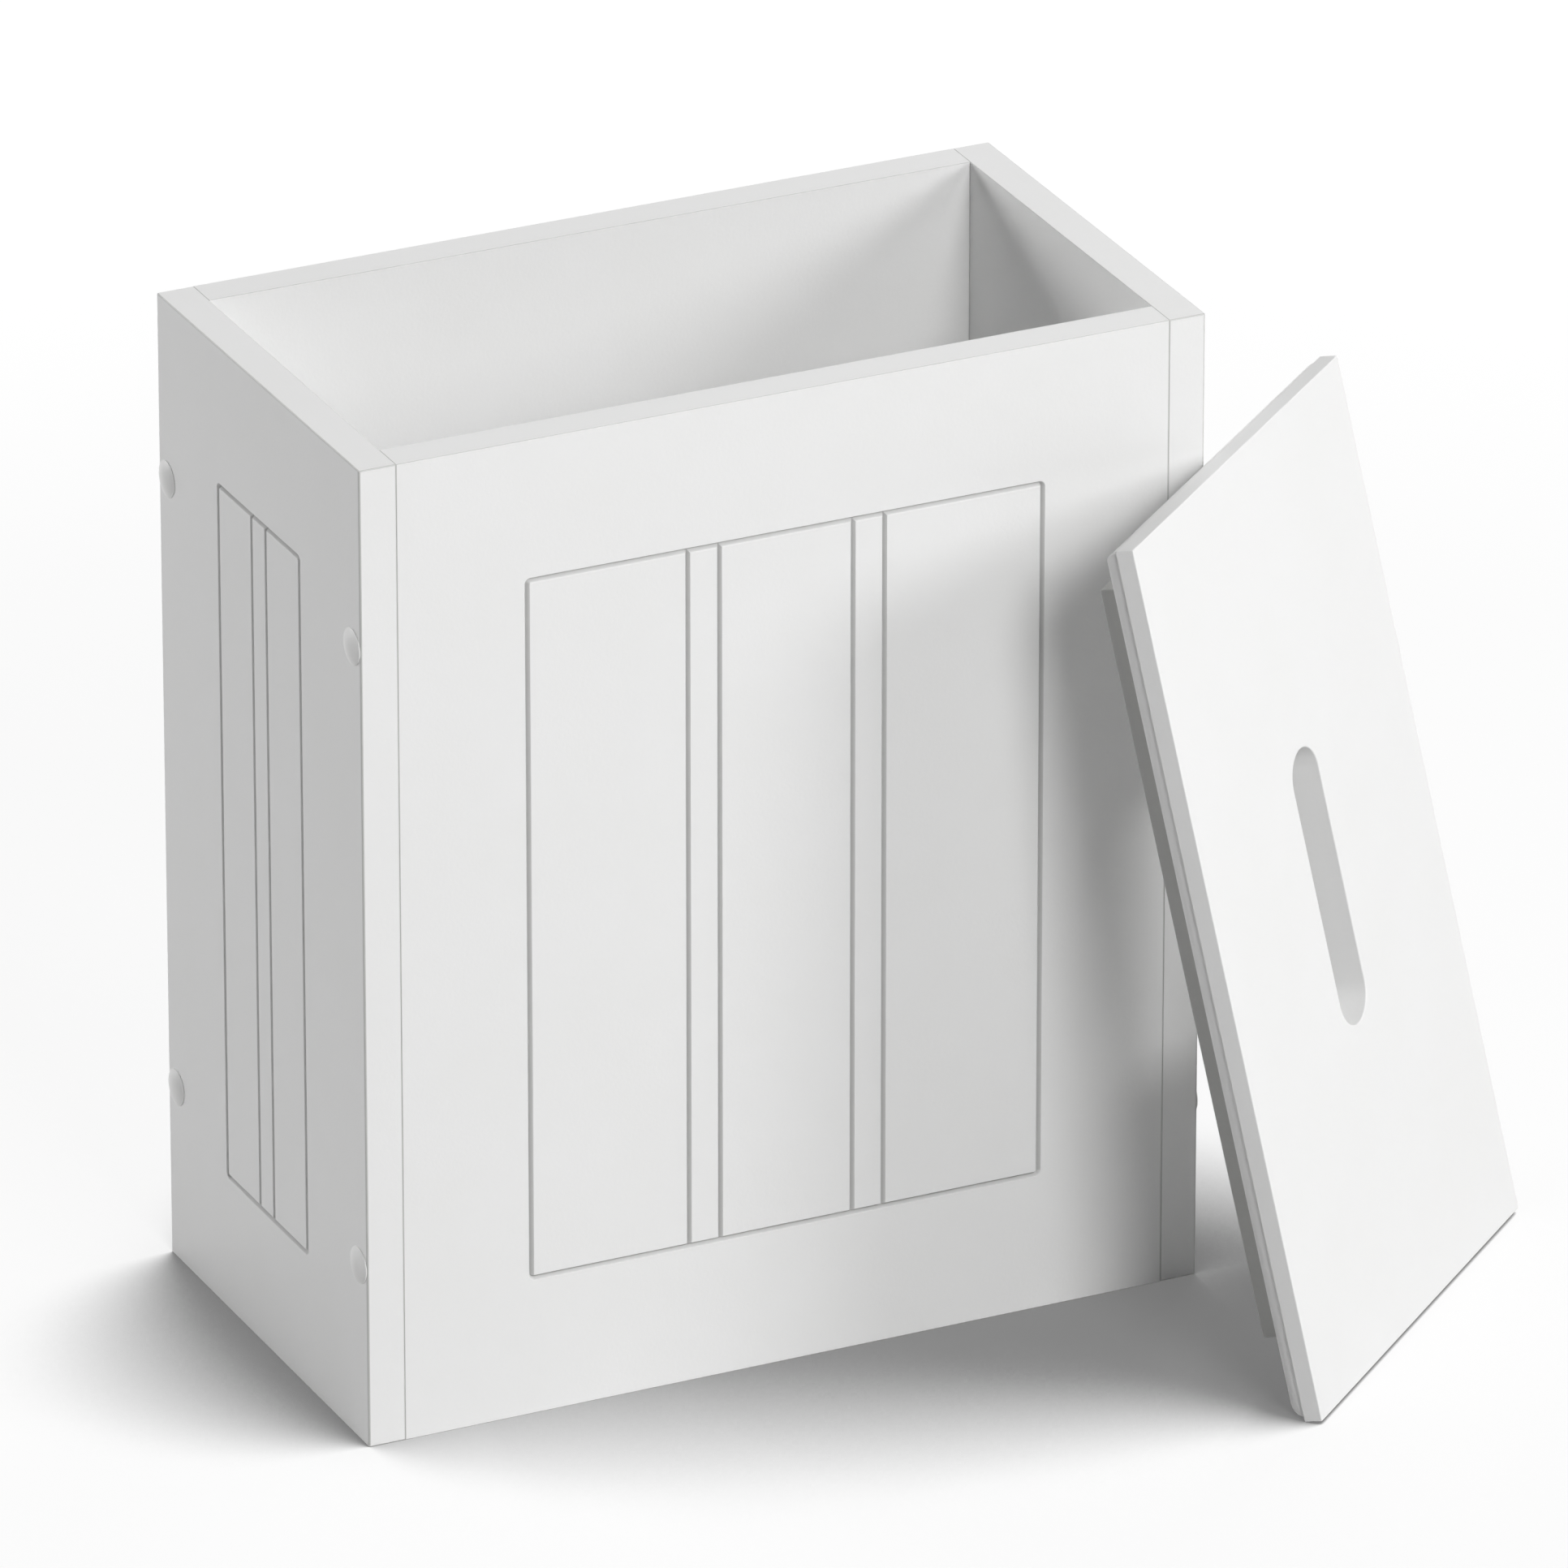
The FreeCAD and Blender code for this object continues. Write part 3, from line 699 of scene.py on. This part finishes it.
class NodeTree:
    """A Geometry Nodes tree with named inputs for its sizes."""

    def __init__(self, name: str, sizes: dict[str, float | int | tuple | bpy.types.Material]) -> None:
        """Starts the tree.

        Args:
            name: Name of the tree and of the piece that it makes.
            sizes: Value of each named input.
        """
        self.name = name
        self.tree = bpy.data.node_groups.new(name, "GeometryNodeTree")
        self.add: Callable[..., bpy.types.NodeSocket] = partial(add_node, self.tree)
        self.values: dict[str, object] = {}
        for label, value in sizes.items():
            kind = SOCKET_TYPES[type(value)]
            socket = self.tree.interface.new_socket(label, in_out="INPUT", socket_type=kind)
            self.values[socket.identifier] = value
        self.tree.interface.new_socket("Geometry", in_out="OUTPUT", socket_type="NodeSocketGeometry")
        self.given = self.add("NodeGroupInput").node.outputs

    def repeat(self, shape: bpy.types.NodeSocket, turn: Euler) -> bpy.types.Object:
        """Repeats a shape in a row, from the inputs Count, Start, Step and Material, and runs the tree.

        Args:
            shape: The shape to repeat.
            turn: How each copy is turned.

        Returns:
            The copies as one plain piece.
        """
        add, given = self.add, self.given
        points = add("GeometryNodeMeshLine", {
            "Count": given["Count"], "Start Location": given["Start"], "Offset": given["Step"],
        })
        spread = {"Points": points, "Instance": shape, "Rotation": turn}
        copies = add("GeometryNodeInstanceOnPoints", spread)
        real = add("GeometryNodeRealizeInstances", {"Geometry": copies})
        done = add("GeometryNodeSetMaterial", {"Geometry": real, "Material": given["Material"]})
        add("NodeGroupOutput", {"Geometry": done})
        piece = new_piece(self.name, bpy.data.meshes.new(self.name), ())
        modifier = piece.modifiers.new("repeat", "NODES")
        modifier.node_group = self.tree
        for identifier, value in self.values.items():
            modifier[identifier] = value
        return freeze(piece)


@dataclass
class CornerFixings:
    """Screws, caps and dowels in the four corner joints.

    Attributes:
        cabinet: The box that they hold together.
        end: From top and foot to the screws.
        cap_radius: Radius of a cap.
        cap_height: Height of its dome over the panel.
        cap_lip: Height of its upright rim.
        stem_radius: Radius of the stem in the screw's socket.
        stem_length: Length of that stem.
        each: Caps in each joint.
        cap_facets: Facets round a cap.
        dome_rows: Rows of facets from the middle of its dome to the rim.
        stem_facets: Facets round its stem.
        seam: Distance under which points of its wrapped sheet are merged.
    """

    cabinet: Cabinet
    end: float = 73.2
    cap_radius: float = 7.25
    cap_height: float = 2.0
    cap_lip: float = 0.35
    stem_radius: float = 1.9
    stem_length: float = 2.4
    each: int = 2
    cap_facets: int = 48
    dome_rows: int = 10
    stem_facets: int = 24
    seam: float = 0.001

    def _cap_shape(self, rows: NodeTree) -> bpy.types.NodeSocket:
        """Adds a cap: a shallow dome over an upright rim, a flat seat and a stem below it.

        A flat sheet is wrapped round the cap's axis. Along it, the dome ends at one, the rim takes the
        next row and the seat the last.

        Args:
            rows: The tree to add to.

        Returns:
            The cap, seated at the origin with its dome up.
        """
        add, given = rows.add, rows.given
        rim_row, seat_row = self.dome_rows + 1, self.dome_rows + 2
        brim, last = rim_row / self.dome_rows, seat_row / self.dome_rows
        sheet = add("GeometryNodeMeshGrid", {
            "Size X": math.tau, "Vertices X": self.cap_facets + 1,
            "Size Y": last, "Vertices Y": seat_row + 1,
        })
        spot = add("ShaderNodeSeparateXYZ", {0: add("GeometryNodeInputPosition")}).node.outputs
        along = add("ShaderNodeMath", {0: spot["Y"], 1: last / 2}, operation="ADD")
        out = add("ShaderNodeClamp", {"Value": along})
        seat, lip = (
            add("ShaderNodeMapRange", {
                "Value": along, "From Min": start, "From Max": end, "To Min": value, "To Max": 0.0,
            })
            for start, end, value in ((brim, last, 1.0), (1.0, brim, given["Lip"]))
        )
        share = add("ShaderNodeMath", {0: out, 1: seat}, operation="MULTIPLY")
        radius = add("ShaderNodeMath", {0: share, 1: given["Radius"]}, operation="MULTIPLY")
        square = add("ShaderNodeMath", {0: out, 1: out}, operation="MULTIPLY")
        fall = add("ShaderNodeMath", {0: 1.0, 1: square}, operation="SUBTRACT")
        dome = add("ShaderNodeMath", {0: given["Height"], 1: given["Lip"]}, operation="SUBTRACT")
        crown = add("ShaderNodeMath", {0: fall, 1: dome}, operation="MULTIPLY")
        axes = {"Z": add("ShaderNodeMath", {0: crown, 1: lip}, operation="ADD")}
        for axis, wave in (("X", "COSINE"), ("Y", "SINE")):
            turn = add("ShaderNodeMath", {0: spot["X"]}, operation=wave)
            axes[axis] = add("ShaderNodeMath", {0: radius, 1: turn}, operation="MULTIPLY")
        place = add("ShaderNodeCombineXYZ", axes)
        turned = add("GeometryNodeSetPosition", {"Geometry": sheet, "Position": place})
        turned = add("GeometryNodeMergeByDistance", {"Geometry": turned, "Distance": self.seam * MM})
        stem = add("GeometryNodeMeshCylinder", {
            "Vertices": self.stem_facets, "Radius": given["Stem Radius"], "Depth": given["Stem Length"],
        })
        half_down = add("ShaderNodeMath", {0: given["Stem Length"], 1: -0.5}, operation="MULTIPLY")
        sunk = add("ShaderNodeCombineXYZ", {"Z": half_down})
        stem = add("GeometryNodeTransform", {"Geometry": stem, "Translation": sunk})
        return add("GeometryNodeJoinGeometry", {"Geometry": [turned, stem]})

    def _caps(self, name: str, side_x: int, side_y: int) -> bpy.types.Object:
        """Builds the two caps of one corner joint.

        Args:
            name: Name of the piece.
            side_x: Left is minus one, right is one.
            side_y: Front is minus one, back is one.

        Returns:
            The caps as one plain piece.
        """
        box = self.cabinet
        start = Vector((side_x * box.width / 2, side_y * (box.depth - box.board) / 2, self.end)) * MM
        rows = NodeTree(name, {
            "Radius": self.cap_radius * MM,
            "Height": self.cap_height * MM,
            "Lip": self.cap_lip * MM,
            "Stem Radius": self.stem_radius * MM,
            "Stem Length": self.stem_length * MM,
            "Start": tuple(start),
            "Step": (0.0, 0.0, (box.height - 2 * self.end) * MM),
            "Count": self.each,
            "Material": CAP_PLASTIC.material(),
        })
        return rows.repeat(self._cap_shape(rows), Euler((0, side_x * math.pi / 2, 0)))

    def build(self) -> None:
        """Builds the caps and dresses the screws and dowels behind them."""
        for corner, side_x, side_y in (
            ("front_left", -1, -1), ("front_right", 1, -1), ("back_left", -1, 1), ("back_right", 1, 1),
        ):
            caps = self._caps(f"{corner}_domed_caps", side_x, side_y)
            settle(caps, f"{corner}_screw_caps", Body.CABINET)
            dress(f"{corner}_screws", ZINC)
            dress(f"{corner}_dowels", BEECH)


def arc(centre: Pair, radius: float, start: float, end: float, steps: int) -> Profile:
    """Returns points on an arc from a start angle to an end angle in degrees."""
    angles = [math.radians(start + (end - start) * step / steps) for step in range(steps + 1)]
    return [(centre[0] + radius * math.cos(a), centre[1] + radius * math.sin(a)) for a in angles]


@dataclass(frozen=True)
class RoundedRectangle:
    """A rectangle with small round corners.

    Attributes:
        half_length: Half of its length.
        half_width: Half of its width.
        corner: Radius of its corners.
        middle: Its middle.
        corner_steps: Facets round a corner.
    """

    half_length: float
    half_width: float
    corner: float
    middle: Pair = (0.0, 0.0)
    corner_steps: int = 4

    def ring(self, inset: float) -> Profile:
        """Draws the rectangle, with its corners at the same radius.

        Args:
            inset: How far inside the outline to draw.

        Returns:
            Its points, counter-clockwise.
        """
        reach_x = self.half_length - inset - self.corner
        reach_y = self.half_width - inset - self.corner
        points = []
        for quarter, (sign_x, sign_y) in enumerate(((1, 1), (-1, 1), (-1, -1), (1, -1))):
            centre = (self.middle[0] + sign_x * reach_x, self.middle[1] + sign_y * reach_y)
            points += arc(centre, self.corner, 90 * quarter, 90 * (quarter + 1), self.corner_steps)
        return points


@dataclass(frozen=True)
class Stadium:
    """A slot with round ends, or a circle where its straight part is zero.

    Attributes:
        half_straight: Half of the straight part.
        radius: Radius of its ends.
        middle: Its middle.
        half_steps: Facets round an end.
    """

    half_straight: float
    radius: float
    middle: Pair = (0.0, 0.0)
    half_steps: int = 24

    def ring(self, inset: float) -> Profile:
        """Draws the slot.

        Args:
            inset: How far inside the outline to draw.

        Returns:
            Its points, counter-clockwise.
        """
        points = []
        for sign, start in ((1, -90), (-1, 90)):
            centre = (self.middle[0] + sign * self.half_straight, self.middle[1])
            end = arc(centre, self.radius - inset, start, start + 180, self.half_steps)
            # On a circle, each half ends where the other starts.
            points += end if self.half_straight else end[:-1]
        return points


Outline = RoundedRectangle | Stadium


def plate(
    name: str, outline: Outline, edge: Profile, holes: Sequence[tuple[Outline, Profile]],
) -> bpy.types.Mesh:
    """Makes a plate whose outer edge and holes follow profiles of inset against height.

    Args:
        name: Name of the mesh.
        outline: The plate's outline.
        edge: Inset and height of the outer edge, from top to bottom.
        holes: Outline and profile of each hole, from top to bottom.

    Returns:
        The closed mesh, in metres.
    """
    mesh = bmesh.new()
    tops, bottoms = [], []
    for shape, profile in ((outline, edge), *holes):
        rings = [
            [mesh.verts.new(Vector((x, y, height)) * MM) for x, y in shape.ring(inset)]
            for inset, height in profile
        ]
        count = len(rings[0])
        for upper, lower in zip(rings, rings[1:]):
            for k in range(count):
                after = (k + 1) % count
                mesh.faces.new((upper[k], lower[k], lower[after], upper[after]))
        for loops, ring in ((tops, rings[0]), (bottoms, rings[-1])):
            loops += [mesh.edges.get((ring[k], ring[(k + 1) % count])) for k in range(count)]
    for loops, way in ((tops, 1), (bottoms, -1)):
        bmesh.ops.triangle_fill(mesh, use_beauty=True, use_dissolve=False, edges=loops, normal=(0, 0, way))
    bmesh.ops.recalc_face_normals(mesh, faces=mesh.faces)
    return to_mesh(mesh, name)


@dataclass
class Lid:
    """The lift-off lid: a moulded board with a hand slot, two battens below and their screws.

    Attributes:
        cabinet: The box that it covers.
        end_overhang: Overhang at the box's sides.
        side_overhang: Overhang at its front and back.
        thickness: Board thickness.
        band: Height of the square band on top.
        quirk: Step from the band to the rounded edge below.
        round_flat: Short upright part between quirk and round.
        slot_length: Length of the hand slot.
        slot_width: Its width.
        slot_ease: Radius of the slot's edges.
        batten_width: Width of a batten.
        batten_thickness: Its thickness.
        batten_side_clearance: From batten to the wall that it stands beside.
        batten_end_clearance: From its ends to the side panels.
        screw_end: From its ends to the outer screws.
        screw_radius: Shank radius of the batten screws.
        screw_head: Head radius.
        screw_bite: How far they reach into the lid.
        screw_play: Room round each screw.
        recess: Length, width and depth of the arms of the cross recess.
        heading: Turn of the leaning lid about the vertical.
        lean: Its lean from upright.
        gap: Room between its rounded edge and the box's corner.
        arris: Radius of the lid board's eased edges.
        batten_ease: Radius of the battens' lower edges and corners.
        screw_facets: Facets round a screw.
        screw_turn: Turn of the cross recesses.
    """

    cabinet: Cabinet
    end_overhang: float = 3.25
    side_overhang: float = 7.75
    thickness: float = 15.0
    band: float = 7.4
    quirk: float = 1.5
    round_flat: float = 0.2
    slot_length: float = 112.0
    slot_width: float = 24.5
    slot_ease: float = 0.6
    batten_width: float = 20.0
    batten_thickness: float = 15.0
    batten_side_clearance: float = 2.5
    batten_end_clearance: float = 6.0
    screw_end: float = 32.5
    screw_radius: float = 1.75
    screw_head: float = 3.5
    screw_bite: float = 10.0
    screw_play: float = 0.1
    recess: Triple = (3.6, 0.9, 1.4)
    heading: float = 41.0
    lean: float = 13.14
    gap: float = 0.3
    arris: float = 0.45
    batten_ease: float = 0.8
    screw_facets: int = 32
    screw_turn: float = 20.0

    @property
    def half_length(self) -> float:
        """Half of the lid's length."""
        return self.cabinet.width / 2 + self.end_overhang

    @property
    def half_width(self) -> float:
        """Half of the lid's width."""
        return self.cabinet.depth / 2 + self.side_overhang

    @property
    def lower(self) -> float:
        """Height of the part below the band."""
        return self.thickness - self.band

    @property
    def round(self) -> float:
        """Radius of the rounded lower edge."""
        return self.lower - self.round_flat

    @property
    def batten_middle(self) -> float:
        """From the lid's middle line to the middle of a batten."""
        wall = self.cabinet.depth / 2 - self.cabinet.board
        return wall - self.batten_side_clearance - self.batten_width / 2

    @property
    def batten_half_length(self) -> float:
        """Half of a batten's length."""
        return self.cabinet.width / 2 - self.cabinet.board - self.batten_end_clearance

    def place(self) -> Matrix:
        """Works out where the leaning lid is.

        Returns:
            The place of its underside's middle, with its length down and its width across.
        """
        lean, heading = math.radians(self.lean), math.radians(self.heading)
        centre = self.half_length - self.quirk - self.round
        reach = centre * math.sin(lean) + self.round * (1 - math.cos(lean)) + self.gap
        band_drop = self.half_length * math.cos(lean) - self.lower * math.sin(lean)
        round_drop = centre * math.cos(lean) - self.round * math.sin(lean) + self.round
        spot = Vector((
            self.cabinet.width / 2 + reach * math.sin(heading),
            -self.cabinet.depth / 2 - reach * math.cos(heading),
            max(band_drop, round_drop),
        ))
        turn = Matrix.Rotation(heading - math.pi / 2, 4, "Z") @ Matrix.Rotation(math.pi / 2 - lean, 4, "Y")
        return Matrix.Translation(spot * MM) @ turn

    def _settle(self, piece: bpy.types.Object, node: str) -> None:
        """Leans a piece that was drawn flat and puts it in its CAD node's place."""
        piece.data.transform(self.place())
        settle(piece, node, Body.LID)

    def _panel(self) -> bpy.types.Object:
        """Builds the lid board with its band, quirk, rounded edge and hand slot.

        Returns:
            The board, drawn flat with its underside at zero.
        """
        name, top = "lid_panel_painted", self.thickness
        ease, slot_ease = self.arris, self.slot_ease
        edge = arc((ease, top - ease), ease, 90, 180, EASE_STEPS)
        edge += arc((ease, self.lower + ease), ease, 180, 270, EASE_STEPS)
        edge += [(self.quirk, self.lower)]
        edge += arc((self.quirk + self.round, self.round), self.round, 180, 270, ROUND_STEPS)
        slot = arc((-slot_ease, top - slot_ease), slot_ease, 90, 0, EASE_STEPS)
        slot += arc((-slot_ease, slot_ease), slot_ease, 0, -90, EASE_STEPS)
        hole = Stadium((self.slot_length - self.slot_width) / 2, self.slot_width / 2)
        outline = RoundedRectangle(self.half_length, self.half_width, ease)
        return new_piece(name, plate(name, outline, edge, [(hole, slot)]), (PAINT_WITH_GROOVE_SHADE,))

    def _screw_places(self) -> list[float]:
        """Returns the places of a batten's screws along it."""
        outer = self.batten_half_length - self.screw_end
        return [-outer, 0.0, outer]

    def _batten(self, name: str, side: int) -> bpy.types.Object:
        """Builds a batten with countersunk screw holes.

        Args:
            name: Name of the piece.
            side: Front is minus one, back is one.

        Returns:
            The batten, drawn flat below the lid.
        """
        ease, foot = self.batten_ease, -self.batten_thickness
        edge = [(0.0, 0.0), (0.0, foot + ease)] + arc((ease, foot + ease), ease, 180, 270, EASE_STEPS)[1:]
        bore, mouth = self.screw_radius + self.screw_play, self.screw_head + self.screw_play
        sink = foot + mouth - bore
        middle = side * self.batten_middle
        holes = [
            (Stadium(0.0, bore, (x, middle), HOLE_STEPS), [(0.0, 0.0), (0.0, sink), (bore - mouth, foot)])
            for x in self._screw_places()
        ]
        outline = RoundedRectangle(self.batten_half_length, self.batten_width / 2, ease, (0.0, middle))
        # The batten's grey finish is painted shade for its place under the lid.
        return new_piece(name, plate(name, outline, edge, holes), (PAINTED_BATTEN_SHADE,))

    def _screws(self, name: str, side: int) -> bpy.types.Object:
        """Builds a batten's countersunk screws with cross recesses.

        Args:
            name: Name of the piece.
            side: Front is minus one, back is one.

        Returns:
            The screws as one plain piece, drawn flat below the lid.
        """
        places = self._screw_places()
        head_height = self.screw_head - self.screw_radius
        length = self.batten_thickness + self.screw_bite
        long, short, deep = self.recess
        start = Vector((places[0], side * self.batten_middle, -self.batten_thickness)) * MM
        rows = NodeTree(name, {
            "Head Radius": self.screw_head * MM,
            "Head Height": head_height * MM,
            "Shank Radius": self.screw_radius * MM,
            "Shank Length": (length - head_height - self.screw_radius) * MM,
            "Recess Long": tuple(Vector((long, short, 2 * deep)) * MM),
            "Recess Across": tuple(Vector((short, long, 2 * deep)) * MM),
            "Start": tuple(start),
            "Step": ((places[1] - places[0]) * MM, 0.0, 0.0),
            "Count": len(places),
            "Material": ZINC.material(),
        })
        add, given = rows.add, rows.given
        head, height = given["Head Radius"], given["Head Height"]
        shank, reach = given["Shank Radius"], given["Shank Length"]
        top = add("ShaderNodeMath", {0: height, 1: reach}, operation="ADD")
        parts = []
        for upper, lower, depth, lift in (
            (shank, head, height, 0.0), (shank, shank, reach, height), (0.0, shank, shank, top),
        ):
            cone = add("GeometryNodeMeshCone", {
                "Vertices": self.screw_facets, "Radius Top": upper, "Radius Bottom": lower, "Depth": depth,
            })
            spot = add("ShaderNodeCombineXYZ", {"Z": lift})
            parts.append(add("GeometryNodeTransform", {"Geometry": cone, "Translation": spot}))
        arms = [add("GeometryNodeMeshCube", {"Size": given[f"Recess {way}"]}) for way in ("Long", "Across")]
        cut = {"Mesh 1": parts[0], "Mesh 2": arms}
        parts[0] = add("GeometryNodeMeshBoolean", cut, operation="DIFFERENCE")
        shape = add("GeometryNodeJoinGeometry", {"Geometry": parts})
        return rows.repeat(shape, Euler((0, 0, math.radians(self.screw_turn))))

    def build(self) -> None:
        """Builds and settles the lid board, the battens and their screws."""
        self._settle(self._panel(), "lid_panel")
        for node, side in (("lid_front_batten", -1), ("lid_back_batten", 1)):
            self._settle(self._batten(f"{node}_painted", side), node)
            self._settle(self._screws(f"{node}_cross_screws", side), f"{node}_screws")


def direction(azimuth: float, elevation: float) -> Vector:
    """Returns the direction towards a place round the object, azimuth 0 in front and 90 to the right."""
    turn, rise = math.radians(azimuth), math.radians(elevation)
    return Vector((math.sin(turn) * math.cos(rise), -math.cos(turn) * math.cos(rise), math.sin(rise)))


def stand(holder: bpy.types.Object, target: Triple, back: Vector, distance: float) -> None:
    """Stands a lamp or the camera so that it faces a target.

    Args:
        holder: The lamp or camera.
        target: The point that it faces.
        back: Direction from there to the holder.
        distance: From there to the holder, in metres.
    """
    holder.location = Vector(target) * MM + back * distance
    holder.rotation_euler = back.to_track_quat("Z", "Y").to_euler()


@dataclass(frozen=True)
class Lamp:
    """A round soft lamp that faces the object.

    Attributes:
        name: What the lamp does.
        azimuth: Its direction, 0 in front and 90 to the right.
        elevation: Its height over the floor.
        level: Light on a surface that faces it, where one shows a colour as written.
        diameter: Its width in metres.
    """

    name: str
    azimuth: float
    elevation: float
    level: float
    diameter: float


@dataclass
class Studio:
    """Pale floor, soft lamps and white surroundings.

    Attributes:
        lamps: The lamps.
        target: The point that the lamps face.
        distance: From there to each lamp, in metres.
        surround: Level of the even light from all round.
        floor_colour: Colour of the floor as it lights the object.
        shown_colour: Colour that the lamps show on the floor as it is seen.
        shown_glow: Level that the seen floor adds in the open.
        shaded_glow: Level that it adds in the deepest shade.
        sky: Azimuth and elevation of the broad soft light that the shade falls away from.
        sky_range: Shares of that light at which the floor is in deepest shade and in the open.
        shade_reach: How far from the object the shade starts.
        shade_samples: Rays that feel out the shade at each point.
        far: From where to where, in metres, the floor turns plain white.
        floor_half: Half of the floor's width, in metres.
    """

    lamps: tuple[Lamp, ...] = (
        Lamp("key_right", 50.0, 22.0, 0.365, 1.8),
        Lamp("front", 2.0, 36.0, 0.515, 1.8),
        Lamp("back_left", -138.0, 14.0, 0.43, 1.7),
        Lamp("back_low", 180.0, 12.0, 0.2, 1.7),
        Lamp("back_right_high", 140.0, 38.0, 0.16, 1.7),
        Lamp("top", 20.0, 78.0, 0.12, 1.7),
    )
    target: Triple = (60.0, -40.0, 180.0)
    distance: float = 5.0
    surround: float = 0.0
    floor_colour: str = "#d2d2d2"
    shown_colour: str = "#606060"
    shown_glow: float = 0.88
    shaded_glow: float = 0.16
    sky: Pair = (90.0, 70.0)
    sky_range: Pair = (0.39, 0.69)
    shade_reach: float = 300.0
    shade_samples: int = 48
    far: Pair = (0.7, 1.7)
    floor_half: float = 6.0

    def _seen(self, tree: bpy.types.NodeTree) -> bpy.types.NodeSocket:
        """Adds a test for rays that show the surroundings: from the camera, a gloss or a glass.

        Args:
            tree: The node tree to add to.

        Returns:
            One for such rays and zero for others.
        """
        path = add_node(tree, "ShaderNodeLightPath").node.outputs
        seen = path["Is Camera Ray"]
        for other in ("Is Glossy Ray", "Is Transmission Ray"):
            seen = add_node(tree, "ShaderNodeMath", {0: seen, 1: path[other]}, operation="MAXIMUM")
        return seen

    def _world(self) -> None:
        """Makes the even light, shown as white."""
        world = bpy.data.worlds.new("studio_surround")
        bpy.context.scene.world = world
        tree = blank_tree(world)
        add = partial(add_node, tree)
        level = {"Value": self._seen(tree), "To Min": self.surround, "To Max": 1.0}
        strength = add("ShaderNodeMapRange", level)
        glow = add("ShaderNodeBackground", {"Color": linear(WHITE), "Strength": strength})
        add("ShaderNodeOutputWorld", {"Surface": glow})

    def _paper(self) -> bpy.types.Material:
        """Makes the floor's material.

        Matt paper has no gloss, so it shows only the shade. One paper lights the object. The other is
        seen, and it glows less where the object hides the soft light.

        Returns:
            The material.
        """
        material = bpy.data.materials.new("matt_paper_sweep")
        tree = blank_tree(material)
        add = partial(add_node, tree)
        paper, lit = (
            add("ShaderNodeBsdfDiffuse", {"Color": linear(colour)})
            for colour in (self.floor_colour, self.shown_colour)
        )
        lean = add("ShaderNodeCombineXYZ", dict(enumerate(direction(*self.sky))))
        open_sky = add(
            "ShaderNodeAmbientOcclusion", {"Distance": self.shade_reach * MM, "Normal": lean}, "AO",
            samples=self.shade_samples,
        )
        place = add("ShaderNodeTexCoord", output="Object")
        away = add("ShaderNodeVectorMath", {0: place}, "Value", operation="LENGTH")
        near, far = (
            add("ShaderNodeMapRange", {
                "Value": value, "From Min": start, "From Max": end, "To Min": low, "To Max": high,
            })
            for value, (start, end), low, high in (
                (open_sky, self.sky_range, self.shaded_glow, self.shown_glow),
                (away, self.far, 0.0, 1.0 - self.shown_glow),
            )
        )
        strength = add("ShaderNodeMath", {0: near, 1: far}, operation="ADD")
        glow = add("ShaderNodeEmission", {"Color": linear(WHITE), "Strength": strength})
        shown = add("ShaderNodeAddShader", {0: lit, 1: glow})
        both = add("ShaderNodeMixShader", {0: self._seen(tree), 1: paper, 2: shown})
        add("ShaderNodeOutputMaterial", {"Surface": both})
        return material

    def _floor(self) -> None:
        """Makes the floor, which shows white where it is lit and keeps the object's shadow."""
        data = bpy.data.meshes.new("studio_floor")
        half = self.floor_half
        corners = [(x * half, y * half, 0) for x, y in ((-1, -1), (1, -1), (1, 1), (-1, 1))]
        data.from_pydata(corners, [], [(0, 1, 2, 3)])
        floor = link("studio_floor", data)
        data.materials.append(self._paper())

    def _lamp(self, lamp: Lamp) -> None:
        """Hangs a lamp that faces the object, with the energy that gives a white surface its level.

        Args:
            lamp: The lamp.
        """
        data = bpy.data.lights.new(lamp.name, "AREA")
        data.shape = "DISK"
        data.size = lamp.diameter
        data.energy = lamp.level * math.pi ** 2 * self.distance ** 2
        stand(link(lamp.name, data), self.target, direction(lamp.azimuth, lamp.elevation), self.distance)

    def build(self) -> None:
        """Sets up the world, the floor and the lamps."""
        bpy.context.scene.view_settings.view_transform = "Standard"
        self._world()
        self._floor()
        for lamp in self.lamps:
            self._lamp(lamp)


@dataclass(frozen=True)
class Camera:
    """The photograph's camera, fitted to the box's edges.

    Attributes:
        azimuth: Where it stands round the object.
        elevation: Its height angle.
        distance: From the target, in metres.
        lens: Focal length.
        sensor: Width of the frame that it is for.
        reach: How far it sees, in metres.
        target: The point in the frame's middle.
    """

    azimuth: float = -25.294
    elevation: float = 24.503
    distance: float = 6.748
    lens: float = 407.24
    sensor: float = 36.0
    reach: float = 50.0
    target: Triple = (42.96, 0.0, 193.62)

    def build(self) -> None:
        """Sets the camera up."""
        data = bpy.data.cameras.new("photo_camera")
        data.lens = self.lens
        data.sensor_width = self.sensor
        data.clip_end = self.reach
        holder = link("photo_camera", data)
        stand(holder, self.target, direction(self.azimuth, self.elevation), self.distance)
        bpy.context.scene.camera = holder


def main() -> None:
    """Builds the object, the studio and the camera."""
    logging.basicConfig(level=logging.INFO, format="%(name)s %(message)s")
    Camera().build()
    cabinet = Cabinet()
    for assembly in (cabinet, CornerFixings(cabinet), Lid(cabinet), Studio()):
        assembly.build()


if __name__ == "__main__":
    main()
